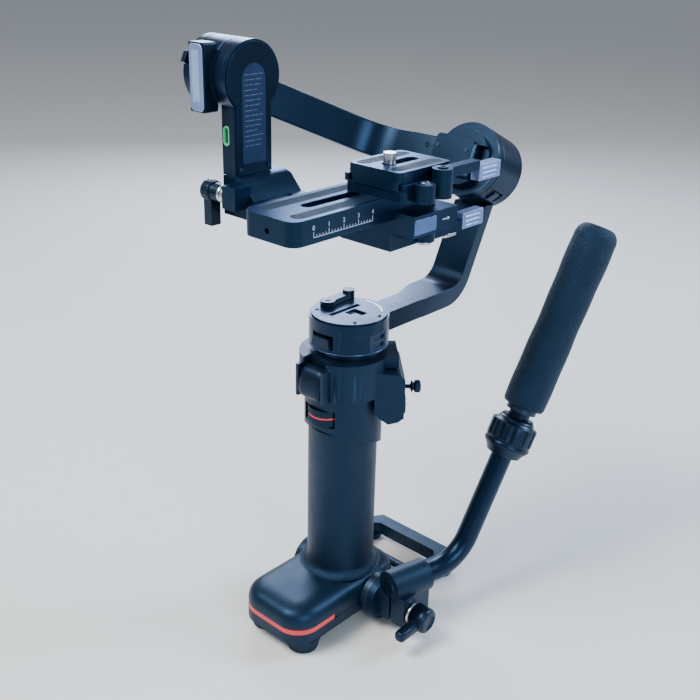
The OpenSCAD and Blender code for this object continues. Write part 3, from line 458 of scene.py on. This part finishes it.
def ruler():
    """Centimetre scale on the plate's side: ticks every 2 mm and longer ones at each whole number."""
    bm = bmesh.new()
    face_x = plate_high.x
    base_z = plate_low.z + RULER_RISE
    ruler_end = RULER_START + RULER_LENGTH
    bar(bm, RULER_START, ruler_end, base_z - BASE_LINE_HALF, base_z + BASE_LINE_HALF, 0, PRINT_THICK)
    for i in range(RULER_TICKS):
        y = RULER_START + RULER_STEP * i
        tall = LONG_TICK if i % 5 == 0 else SHORT_TICK
        bar(bm, y - TICK_HALF, y + TICK_HALF, base_z, base_z + tall, 0, PRINT_THICK)
    side = frame_at((face_x, 0, 0), ALONG_X, ALONG_Y)
    finish_mesh(bm, "ruler_scale", PRINT, "plate", side, smooth=False)
    for number in range(5):
        digit = bpy.data.curves.new(f"digit_{number}", "FONT")
        digit.body = str(number)
        digit.size = DIGIT_SIZE * MM
        digit.align_x = "CENTER"
        digit.extrude = 0.06 * MM
        holder = bpy.data.objects.new(f"ruler_digit_{number}", digit)
        bpy.context.scene.collection.objects.link(holder)
        holder.matrix_world = side @ Matrix.Translation(
            Vector((RULER_START + 10 * number, base_z + 3.4, 0.03)) * MM)
        digit.materials.append(PRINT)
        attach(holder, "plate")


ruler()


# ---------- marks, labels and screws ----------

def arrow(name, place, body):
    """Plain pointer: a short bar and a triangle."""
    bm = bmesh.new()
    bar(bm, -3.2, 0.2, -0.28, 0.28, 0, PRINT_THICK)
    outline_piece(bm, [(0.8, -1.0), (2.6, 0), (0.8, 1.0)], 0, PRINT_THICK)
    finish_mesh(bm, name, PRINT, body, place, smooth=False)


clamp_side = size_of("lower_clamp")[1].x
ARROW_Y = 36
ARROW_Z = 227.5
arrow("lower_clamp_arrow", frame_at((clamp_side, ARROW_Y, ARROW_Z), ALONG_X, ALONG_Y), "stage")

arm_low, arm_high = size_of("tilt_cover")
arm_face = arm_high.x
arm_mid_y = (arm_low.y + arm_high.y) / 2
tilt_axis_z = joint_at("tilt").z
label_frame = frame_at((arm_face, arm_mid_y, tilt_axis_z), ALONG_X, ALONG_Y)
LABEL_R = 8.2
LABEL_FOOT = -44
label_points = arc(LABEL_R, range(0, 181, 10), -1) + [(-LABEL_R, LABEL_FOOT), (LABEL_R, LABEL_FOOT)]
plate("arm_label", label_points, 0.14, label_frame, LABEL, "tilt_unit", bevel=0.05)


# Bars on the label, in millimetres: four rows of lengths that repeat down it
LABEL_ROWS = 15
LABEL_TOP = 1.5
LABEL_PITCH = 2.6
LABEL_LEFT = -6.4
BAR_LENGTHS = ((3.1, 5.2, 2.4), (6.8, 3.4), (2.2, 2.6, 4.1), (5.6, 1.8))
BAR_HEIGHT = 0.42
BAR_GAP = 0.9


def label_bars():
    """Rows of short bars in place of small print."""
    bm = bmesh.new()
    for row in range(LABEL_ROWS):
        y = LABEL_TOP - LABEL_PITCH * row
        left = LABEL_LEFT
        for length in BAR_LENGTHS[row % len(BAR_LENGTHS)]:
            bar(bm, left, left + length, y, y + BAR_HEIGHT, 0.13, 0.2)
            left += length + BAR_GAP
    finish_mesh(bm, "label_bars", PRINT_DIM, "tilt_unit", label_frame, smooth=False)


label_bars()
arm_screw_z = tilt_axis_z - 46.5
arm_spots = [((arm_face + 0.02, arm_mid_y + y, arm_screw_z), ALONG_X) for y in (-10, 10)]
socket_screws("tilt_arm_screws", arm_spots, 1.1, ALLOY, "tilt_unit")


# ---------- motors ----------

ROLL_AXIS = Vector(JOINTS["roll"]["axis"]).normalized()
ROLL_UP = Vector((0, -ROLL_AXIS.z, ROLL_AXIS.y))
ROLL_AT = joint_at("roll")
roll_frame = frame_at(ROLL_AT, ROLL_AXIS)


def groove_ring(name, radius, z, place, material, body, width=0.7, proud=0.12):
    """Thin raised band round a motor."""
    sunk = radius - 0.3
    crest = radius + proud
    profile = [(sunk, z), (crest, z + 0.12), (crest, z + width - 0.12), (sunk, z + width)]
    bm = bmesh.new()
    steps = 120
    turns = [2 * math.pi * i / steps for i in range(steps)]
    rings = [[bm.verts.new((r * math.cos(turn), r * math.sin(turn), h)) for turn in turns] for r, h in profile]
    for low, high in zip(rings, rings[1:]):
        for i in range(steps):
            bm.faces.new((low[i - 1], low[i], high[i], high[i - 1]))
    for i in range(steps):
        bm.faces.new((rings[-1][i - 1], rings[-1][i], rings[0][i], rings[0][i - 1]))
    return finish_mesh(bm, name, material, body, place)


# Seams and rings on the three motors; the light-blue rings are painted highlights on their chamfers
tilt_at = joint_at("tilt")
tilt_r = size_of("tilt_housing")[1].z - tilt_at.z
housing_low, housing_high = size_of("tilt_housing")
tilt_frame = frame_at((0, tilt_at.y, tilt_at.z), ALONG_X, ALONG_Y)
# Painted highlight: light-blue ring where the tilt motor's chamfer catches the light
groove_ring("tilt_highlight_ring", tilt_r, housing_high.x - 1.5, tilt_frame, HIGHLIGHT_BLUE, "roll_unit", 1.3, 0.05)
groove_ring("tilt_cap_ring", tilt_r, housing_low.x - 0.5, tilt_frame, TRIM, "roll_unit", 0.9, 0.08)
roll_r = (size_of("roll_housing")[1].x - size_of("roll_housing")[0].x) / 2


def along_roll(node):
    reach = [(Vector(v.co) / MM - ROLL_AT).dot(ROLL_AXIS) for v in NODES[node].data.vertices]
    return min(reach), max(reach)


rotor_front = along_roll("roll_rotor")[0] + 5.4
roll_back = along_roll("roll_cap")[1]
# Painted highlight: light-blue ring on the roll motor's front chamfer
groove_ring("roll_front_highlight_ring", roll_r, rotor_front + 0.6, roll_frame, HIGHLIGHT_BLUE, "roll_rotor", 0.8, 0.05)
groove_ring("roll_seam_ring", roll_r, along_roll("roll_housing")[0] + 0.2, roll_frame, TRIM,
            "yaw_unit", 0.8, 0.06)
lathe("roll_back_disc", [
    (roll_r - 4.2, roll_back - 0.4), (roll_r - 4.4, roll_back + 0.35), (roll_r - 5.2, roll_back + 0.5),
    (8.4, roll_back + 0.5), (7.6, roll_back + 0.1)],
    roll_frame, TRIM, "yaw_unit")
cap_end = size_of("tilt_cap")[0].x
lathe("tilt_end_disc", [
    (tilt_r - 4.4, cap_end + 0.4), (tilt_r - 4.6, cap_end), (tilt_r - 5.4, cap_end - 0.15),
    (7, cap_end - 0.15), (6.4, cap_end + 0.1)],
    tilt_frame, TRIM, "roll_unit")

# Clamped end of the roll arm: a screwed cover plate and its set screw. BAND_S is how far along the roll
# axis the arm's front face lies, and the cover plate's middle is -BAND_MID above the axis, in millimetres.
roll_face = frame_at(ROLL_AT, -ROLL_AXIS, (1, 0, 0))
BAND_S = 94.0
BAND_MID = -2.0
cover_points = [(x, -y - BAND_MID) for x, y in round_rect(25, 15.6, 2.4, -4.5, 0)]
band_frame = roll_face @ Matrix.Translation(Vector((0, 0, -BAND_S)) * MM)
plate("roll_arm_cover", cover_points, 0.55, band_frame, MATERIALS["arm_metal"], "roll_unit", bevel=0.25)


def roll_point(u, v, s):
    """A point of the roll frame in the row frame, in millimetres."""
    return ROLL_AT + Vector((u, 0, 0)) + ROLL_UP * v + ROLL_AXIS * s


band_corners = [roll_point(x, v, BAND_S - 0.5) for x in (-14.2, 5.2) for v in (-7, 3)]
socket_screws("roll_arm_screws", [(corner, -ROLL_AXIS) for corner in band_corners], 1.1, ALLOY, "roll_unit")
socket_screws("roll_arm_set_screw", [(roll_point(-22, 2, BAND_S + 0.1), -ROLL_AXIS)], 1.5, TRIM, "roll_unit")

# Pan motor: seam ring, a painted highlight ring at its foot, screws and the curved index slot on its cover, drawn
# as a thin sheet of painted shade, and dots on the sliding rail
cover_low, cover_high = size_of("pan_cover")
pan_at = joint_at("pan")
pan_frame = frame_at((pan_at.x, pan_at.y, 0), ALONG_Z)
pan_r = (cover_high.x - cover_low.x) / 2
groove_ring("pan_seam", pan_r, cover_low.z - 0.35, pan_frame, TRIM, "pan_unit", 0.7, 0.05)
ports_foot = size_of("motor_ports")[0].z
# Painted highlight: light-blue ring round the pan motor's foot
groove_ring("pan_foot_highlight_ring", pan_r, ports_foot - 1.2, pan_frame, HIGHLIGHT_BLUE, "pan_unit", 0.6, 0.04)
# The slot is not cut: a thin near-black sheet on the cover paints the shade inside it
slot_points = arc(17.2, range(40, 101, 5)) + arc(16.2, range(100, 39, -5))
cover_top = pan_frame @ Matrix.Translation((0, 0, cover_high.z * MM))
plate("pan_slot_shade", slot_points, 0.12, cover_top, SLOT_SHADE_BLACK, "pan_unit", bevel=0.0)
cover_spots = [(pan_at.x + x, pan_at.y + y, cover_high.z - 0.35) for x, y in arc(16.6, (20, -38, -140))]
socket_screws("pan_cover_screws", [(spot, ALONG_Z) for spot in cover_spots], 1.0, ALLOY, "pan_unit")
RAIL_DOTS = 8
DOT_START_Y = 31
DOT_PITCH = 4.2
dot_z = cover_high.z - 3.6 - 0.62
dot_spots = [((4.6, DOT_START_Y + DOT_PITCH * i, dot_z), ALONG_Z) for i in range(RAIL_DOTS)]
socket_screws("rail_dots", dot_spots, 0.6, PRINT, "yaw_unit")

# Front dial: red line round its waist, and fine ribs
dial_at = joint_at("dial_turn")
dial_low, dial_high = size_of("front_dial")
dial_r = (dial_high.x - dial_low.x) / 2
dial_frame = frame_at((dial_at.x, dial_at.y, 0), ALONG_Z)
dial_mid = (dial_low.z + dial_high.z) / 2
groove_ring("dial_red_line", dial_r - 0.5, dial_mid - 0.6, dial_frame, MATERIALS["accent_red"],
            "front_dial", 1.2, 0.25)
DIAL_RIBS = 48
RIB_HALF_TURN = 0.03
rib_foot = dial_r - 0.1
rib_crest = dial_r + 0.22
rib_faces = bmesh.new()
for i in range(DIAL_RIBS):
    turn = 2 * math.pi * i / DIAL_RIBS
    for low, high in ((dial_low.z + 0.5, dial_mid - 1.0), (dial_mid + 1.0, dial_high.z - 0.5)):
        spots = [(rib_foot, turn - RIB_HALF_TURN), (rib_crest, turn - RIB_HALF_TURN / 2),
                 (rib_crest, turn + RIB_HALF_TURN / 2), (rib_foot, turn + RIB_HALF_TURN)]
        outline_piece(rib_faces, [(r * math.cos(t), r * math.sin(t)) for r, t in spots], low, high)
finish_mesh(rib_faces, "dial_ribs", TRIM, "front_dial", dial_frame, smooth=False)


# ---------- rounded controls ----------

def loft(name, rings, place, material, body, levels=1):
    """Skin over rings of equally many points, closed at both ends and subdivided levels times."""
    bm = bmesh.new()
    loops = [[bm.verts.new(point) for point in ring] for ring in rings]
    count = len(loops[0])
    for low, high in zip(loops, loops[1:]):
        for i in range(count):
            bm.faces.new((low[i - 1], low[i], high[i], high[i - 1]))
    bm.faces.new(loops[0])
    bm.faces.new(loops[-1])
    piece = finish_mesh(bm, name, material, body, place)
    smoother = piece.modifiers.new("smoother", "SUBSURF")
    smoother.levels = levels
    smoother.render_levels = levels
    return piece


# Joystick: thin stem, a collar and a knurled button
stick_at = joint_at("stick_tilt")
stick_frame = frame_at(stick_at, (1, 1, 0), ALONG_Z)
joystick = lathe("joystick_button", [
    (2.3, -0.9), (2.4, 0.6), (1.5, 1.3), (1.15, 3), (1.1, 8.1), (1.6, 8.6), (3.1, 9), (3.2, 9.5), (2.2, 9.9),
    (2.2, 10.4), (3.2, 10.8), (3.4, 11.2), (3.4, 13.2), (2.9, 13.8), (1.8, 14.1), (0.5, 14.2)],
    stick_frame, TRIM, "joystick", 192, 16, 0.28, (11.1, 13.3))
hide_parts("joystick")

# Fill light: round-cornered frame with a frosted window
panel_low, panel_high = size_of("light_diffuser")
panel_mid = (panel_low + panel_high) / 2
panel_frame = frame_at((panel_mid.x, panel_low.y + 0.1, panel_mid.z), (0, -1, 0), (1, 0, 0))
panel_size = panel_high - panel_low
frame_place = panel_frame @ Matrix.Translation((0, 0, -0.4 * MM))
panel = plate("light_frame", round_rect(panel_size.x + 0.9, panel_size.z + 1.2, 2.6), 0.7, frame_place,
              MATERIALS["tab_grey"], "roll_unit", bevel=0.3)
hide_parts("light_diffuser")
window_place = panel_frame @ Matrix.Translation((0, 0, 0.28 * MM))
plate("light_window", round_rect(5.6, 26, 0.8, 0, 0.8), 0.16, window_place,
      MATERIALS["light_panel"], "roll_unit", bevel=0.05)

# Trigger: crowned pad with a hollow for the finger. Its side is an outline of (y, height above its
# lowest point), drawn in towards (PAD_Y, PAD_RISE) near each end of its width.
trigger_low, trigger_high = size_of("trigger")
PAD_Y = -23.4
PAD_RISE = 8.6
trigger_side = [
    (-24.4, 0.6), (-25.9, 0.9), (-27.2, 2.2), (-27.6, 5), (-27.0, 8.6), (-26.3, 12), (-24.6, 15.6),
    (-22.6, 17.0), (-20.6, 17.0), (-19.2, 15.6), (-19.4, 13.2), (-22.4, 10.6), (-23.4, 7), (-23.6, 3),
]
trigger_rings = []
half_w = (trigger_high.x - trigger_low.x) / 2
for x, inset in ((-1, 0.55), (-0.97, 0.8), (-0.8, 0.97), (-0.4, 1.0), (0, 0.985), (0.4, 1.0), (0.8, 0.97),
                 (0.97, 0.8), (1, 0.55)):
    trigger_rings.append([
        (x * half_w, PAD_Y + (y - PAD_Y) * inset,
         trigger_low.z + PAD_RISE + (z - PAD_RISE) * (0.5 + inset / 2))
        for y, z in trigger_side])
trigger = loft("trigger_pad", trigger_rings, Matrix.Identity(4), TRIM, "trigger", 2)
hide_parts("trigger")

# Base crown: its shoulders round over towards the handle, and it draws in behind the red stripe
shell_low, shell_high = size_of("base_shell")
stripe_high = size_of("base_stripe")[1]
crown_w = shell_high.x - shell_low.x
crown_l = shell_high.y - shell_low.y
crown_y = (shell_high.y + shell_low.y) / 2
CROWN_CORNER_R = 15
CORNER_STEPS = 10
SIDE_STEPS = 16
BELT_DEPTH = 2.2


def crown_ring(inset, z):
    """Round-cornered ring with points along its straight sides too."""
    corner_r = max(4, CROWN_CORNER_R - inset)
    corners = round_rect(crown_w - 2 * inset, crown_l - 2 * inset, corner_r, 0, crown_y, CORNER_STEPS)
    ring = []
    for i, (x, y) in enumerate(corners):
        ring.append((x, y, z))
        if i % (CORNER_STEPS + 1) == CORNER_STEPS:
            next_x, next_y = corners[(i + 1) % len(corners)]
            for k in range(1, SIDE_STEPS):
                share = k / SIDE_STEPS
                ring.append((x + (next_x - x) * share, y + (next_y - y) * share, z))
    return ring


def belt_ring(z):
    """Ring that lies BELT_DEPTH further in where the stripe runs, and nearly full behind it."""
    ring = []
    for inner, outer in zip(crown_ring(BELT_DEPTH, z), crown_ring(0.1, z)):
        share = min(1.0, max(0.0, (outer[1] - stripe_high.y + 1.5) / 2.5))
        ring.append(tuple(a + (b - a) * share for a, b in zip(inner, outer)))
    return ring


crown_rings = [belt_ring(shell_low.z), belt_ring(shell_low.z + 0.1), belt_ring(stripe_high.z - 0.1),
               belt_ring(stripe_high.z)]
crown_rings += [crown_ring(inset, stripe_high.z + rise * (shell_high.z - stripe_high.z)) for inset, rise in (
    (0.12, 0.02), (0.0, 0.06), (0.0, 0.25), (0.35, 0.45), (1.2, 0.63), (2.6, 0.78), (4.6, 0.89), (7.2, 0.96),
    (10.5, 0.995), (11.5, 1.0))]
crown = loft("base_crown", crown_rings, Matrix.Identity(4), MATERIALS["housing_plastic"], "base", 1)
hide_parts("base_shell")

# Roll arm: a flat bar swept round a soft bend, from the clamp on the rotor to the tilt motor. Its path is
# seen along ROLL_UP, in millimetres: across (x) and along the roll axis from the roll joint.
ARM_PATH = [Vector((10, 97)), Vector((-60, 97)), Vector((-90.5, 28)), Vector((-90.5, 13))]
ARM_TOP = 7.5
ARM_H = 19
ARM_T = 6


def filleted(path, radius, steps=8):
    """The path with its inner corners rounded."""
    points = [path[0]]
    for before, corner, after in zip(path, path[1:], path[2:]):
        back = (before - corner).normalized()
        ahead = (after - corner).normalized()
        half = back.angle(ahead) / 2
        reach = min(radius / math.tan(half), 0.48 * (before - corner).length, 0.48 * (after - corner).length)
        for i in range(steps + 1):
            share = i / steps
            points.append(corner + back * reach * (1 - share) ** 2 + ahead * reach * share ** 2)
    return points + [path[-1]]


def arm_rings():
    path = filleted(ARM_PATH, 26)
    section = round_rect(ARM_T, ARM_H, 1.1, 0, 0, 3)
    rings = []
    for i, point in enumerate(path):
        ahead = (path[min(i + 1, len(path) - 1)] - path[max(i - 1, 0)]).normalized()
        side = Vector((-ahead.y, ahead.x))
        rings.append([(*(point + side * across), ARM_TOP - ARM_H / 2 + up) for across, up in section])
    return rings


roll_turn = Matrix((Vector((1, 0, 0)), ROLL_AXIS, ROLL_UP)).transposed().to_4x4()
roll_turn.translation = ROLL_AT * MM
arm_skin = loft("roll_arm_bar", arm_rings(), roll_turn, MATERIALS["arm_metal"], "roll_unit", 0)
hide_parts("roll_arm")

# Sling knob: a tapered wing and a bright collar; its dome is with the small pieces
knob_low, knob_high = (corner.x for corner in size_of("sling_knob"))
knob_at = joint_at("sling_knob_turn")
knob_frame = frame_at((0, knob_at.y, knob_at.z), ALONG_X, ALONG_Y)
wing_x = knob_high - 5.4


def wing_ring(y, half_h, half_t, drop):
    return [(wing_x + half_t * a, y, drop + half_h * b) for a, b in (
        (-1, -0.6), (-1, 0.6), (-0.6, 1), (0.6, 1), (1, 0.6), (1, -0.6), (0.6, -1), (-0.6, -1))]


wing_rings = [
    wing_ring(2, 4.2, 3.4, -0.6), wing_ring(-4, 4.4, 3.4, -0.8), wing_ring(-7, 3.6, 3.2, -1.2),
    wing_ring(-12, 3.0, 3.1, -1.6), wing_ring(-18.4, 3.3, 3.3, -1.8), wing_ring(-19.8, 2.4, 2.4, -1.8),
]
wing = loft("knob_wing", wing_rings, Matrix.Translation(Vector((0, knob_at.y, knob_at.z)) * MM), TRIM,
            "sling_knob", 2)
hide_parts("sling_knob")
lathe("knob_collar", [
    (3.0, knob_low), (3.0, knob_high - 12.2), (5.9, knob_high - 12.0), (6.1, knob_high - 11.6),
    (6.1, knob_high - 10.4), (5.4, knob_high - 10.0), (5.4, knob_high - 9.4)],
    knob_frame, STEEL, "sling_knob")


# ---------- other small pieces ----------

# Height lever: bright sleeve, ribs round the hub
stud_at = joint_at("height_lever_turn")
stud_frame = frame_at((0, stud_at.y, stud_at.z), ALONG_X, ALONG_Y)
hub = size_of("height_lever")[0].x
lathe("lever_sleeve", [(2.6, -75.6), (4.3, -75.5), (4.75, -75.0), (4.75, -74.0), (4.3, -73.7), (4.3, -73.1),
                       (4.75, -72.8), (4.75, -71.2), (4.3, -70.8), (2.6, -70.7)],
      stud_frame, STEEL, "height_lever")
lathe("lever_hub", [(3.0, hub - 0.3), (4.6, hub - 0.2), (5.7, hub + 0.5), (5.9, hub + 1.5), (5.9, hub + 4.9),
                    (5.6, hub + 5.7), (4.9, hub + 6), (4.8, hub + 11.2), (4.4, hub + 11.5)],
      stud_frame, TRIM, "height_lever", 240, 14, 0.5, (hub + 1, hub + 5.3))

# Sling: the knob's ribbed dome, and the toothed boss on the free side
lathe("knob_dome", [
    (7.05, knob_high - 9.6), (7.1, knob_high - 2.2), (6.6, knob_high - 0.8), (5.4, knob_high - 0.1),
    (4.4, knob_high + 0.1), (4.0, knob_high - 0.5), (0.6, knob_high - 0.5)],
    knob_frame, TRIM, "sling_knob", 240, 16, 0.35, (knob_high - 8.6, knob_high - 2.4))
boss_x = size_of("rosettes")[0].x
ROSETTE_TEETH = 36


def rosette_teeth():
    """Ring of radial teeth on the free side boss."""
    bm = bmesh.new()
    for i in range(ROSETTE_TEETH):
        turn = 2 * math.pi * i / ROSETTE_TEETH
        half = math.pi / ROSETTE_TEETH
        corners = []
        for r in (6.2, 12.0):
            for t, h in ((turn - half, 0.0), (turn, 0.55), (turn + half, 0.0)):
                corners.append(bm.verts.new((r * math.cos(t), r * math.sin(t), h)))
        a, b, c, d, e, f = corners
        bm.faces.new((a, b, e, d))
        bm.faces.new((b, c, f, e))
        bm.faces.new((d, e, f))
        bm.faces.new((a, c, b))
    finish_mesh(bm, "rosette_teeth", ALLOY, "base",
                frame_at((boss_x + 0.05, 3, 15), (-1, 0, 0), (0, 1, 0)), smooth=False)


rosette_teeth()

# Quick-release levers: pivot screws, pins and the face under the clamp, painted pale blue as a highlight
pivot = joint_at("upper_lever_swing")
lever_top = size_of("upper_lever")[1].z
socket_screws("upper_pivot_screw", [((pivot.x, pivot.y, lever_top - 0.1), ALONG_Z)], 2.6, TRIM,
              "upper_lever")
lower_pivot = joint_at("lower_lever_swing")
lower_lever_low = size_of("lower_lever")[0].z
lathe("lower_pivot_nut", [(3.6, -1.6), (3.9, -1.2), (3.9, -0.2), (3.6, 0.1), (1.2, 0.1)],
      frame_at((lower_pivot.x, lower_pivot.y, lower_lever_low), ALONG_Z), STEEL, "lower_lever")
lathe("lower_lever_pin", [(0.8, 0), (1.3, 0.4), (1.3, 8.6), (0.8, 9.0)],
      frame_at((lower_pivot.x + 0.8, lower_pivot.y + 15, lower_lever_low - 0.9), (0, 1, 0)),
      STEEL, "lower_lever")
# Painted highlight: the face under the clamp takes the light-blue highlight colour
plate("clamp_side_face", round_rect(17, 7.4, 0.8, 19.5, 227.0), 0.14,
      frame_at((clamp_side, 0, 0), ALONG_X, ALONG_Y), HIGHLIGHT_BLUE, "stage", bevel=0.05)
upper_clamp_top = size_of("upper_clamp")[1].z
socket_screws("upper_clamp_screw", [((35.4, 15, upper_clamp_top - 0.2), ALONG_Z)], 2.4, STEEL, "plate")
screw_at = joint_at("camera_screw_turn")
screw_top = size_of("camera_screw")[1].z
# Thread, in millimetres, with its pitch that of a quarter-inch camera screw
THREAD_STEPS = 36
THREAD_TURNS = 4
THREAD_PITCH = 1.27
THREAD_LENGTH = 5.4
THREAD_ROOT = 3.0
THREAD_CREST = 3.26


def thread():
    """Turns of thread round the camera screw's free end."""
    bm = bmesh.new()
    rings = []
    for i in range(THREAD_STEPS * THREAD_TURNS + 1):
        turn = 2 * math.pi * i / THREAD_STEPS
        z = screw_top - THREAD_LENGTH + THREAD_PITCH * i / THREAD_STEPS
        rings.append([bm.verts.new((r * math.cos(turn), r * math.sin(turn), z + dz))
                      for r, dz in ((THREAD_ROOT, -0.45), (THREAD_CREST, 0), (THREAD_ROOT, 0.45))])
    for low, high in zip(rings, rings[1:]):
        for k in range(2):
            bm.faces.new((low[k], high[k], high[k + 1], low[k + 1]))
    finish_mesh(bm, "camera_screw_thread", STEEL, "camera_screw",
                frame_at((screw_at.x, screw_at.y, 0), ALONG_Z))


thread()


# ---------- studio ----------

# The camera fitted to the photograph: angles in degrees, place and lens in millimetres
CAMERA_AZIMUTH = 41.96
CAMERA_PITCH = 23.66
CAMERA_ROLL = 1.42
CAMERA_AT = Vector((321.3, -353.1, 366.0))
CAMERA_LENS = 51.6
CAMERA_SENSOR = 36.0


def camera():
    """Placed as the photograph's camera."""
    azimuth = math.radians(CAMERA_AZIMUTH)
    pitch = math.radians(CAMERA_PITCH)
    roll = math.radians(CAMERA_ROLL)
    level = Vector((-math.sin(azimuth), math.cos(azimuth), 0)) * math.cos(pitch)
    ahead = level - Vector((0, 0, math.sin(pitch)))
    right = Vector((math.cos(azimuth), math.sin(azimuth), 0))
    up = right.cross(ahead)
    tilted_right = math.cos(roll) * right + math.sin(roll) * up
    tilted_up = math.cos(roll) * up - math.sin(roll) * right
    matrix = Matrix((tilted_right, tilted_up, -ahead)).transposed().to_4x4()
    matrix.translation = CAMERA_AT * MM
    data = bpy.data.cameras.new("camera")
    data.sensor_width = CAMERA_SENSOR
    data.lens = CAMERA_LENS
    data.clip_start = 0.02
    obj = bpy.data.objects.new("camera", data)
    bpy.context.scene.collection.objects.link(obj)
    obj.matrix_world = matrix
    bpy.context.scene.camera = obj


def studio():
    bm = bmesh.new()
    bmesh.ops.create_grid(bm, x_segments=8, y_segments=8, size=20.0)
    mesh = bpy.data.meshes.new("floor")
    bm.to_mesh(mesh)
    bm.free()
    floor = bpy.data.objects.new("floor", mesh)
    bpy.context.scene.collection.objects.link(floor)
    floor.location.z = -0.0002
    paper, _, shader = new_material("pale_floor")
    shader.inputs["Base Color"].default_value = (0.70, 0.70, 0.68, 1)
    shader.inputs["Roughness"].default_value = 0.8
    mesh.materials.append(paper)
    world = bpy.data.worlds.new("studio")
    bpy.context.scene.world = world
    world.use_nodes = True
    world.node_tree.nodes["Background"].inputs["Color"].default_value = (0.80, 0.88, 1.0, 1)
    world.node_tree.nodes["Background"].inputs["Strength"].default_value = 0.38
    target = Vector((0, 0.02, 0.16))
    lamps = (
        ("key", (-0.30, -0.60, 1.05), 0.5, 19.0, (1.0, 0.98, 0.95)),
        ("fill", (0.95, -0.35, 0.5), 0.4, 7.0, (0.72, 0.84, 1.0)),
        ("rim", (0.60, 0.85, 0.7), 0.4, 14.0, (0.68, 0.80, 1.0)),
        ("back", (-0.75, 0.65, 0.6), 0.45, 9.0, (0.68, 0.80, 1.0)),
    )
    for name, spot, size, power, tint in lamps:
        data = bpy.data.lights.new(name, "AREA")
        data.size = size
        data.energy = power
        data.color = tint
        lamp = bpy.data.objects.new(name, data)
        bpy.context.scene.collection.objects.link(lamp)
        lamp.location = spot
        lamp.rotation_mode = "QUATERNION"
        lamp.rotation_quaternion = (target - Vector(spot)).to_track_quat("-Z", "Y")


camera()
studio()
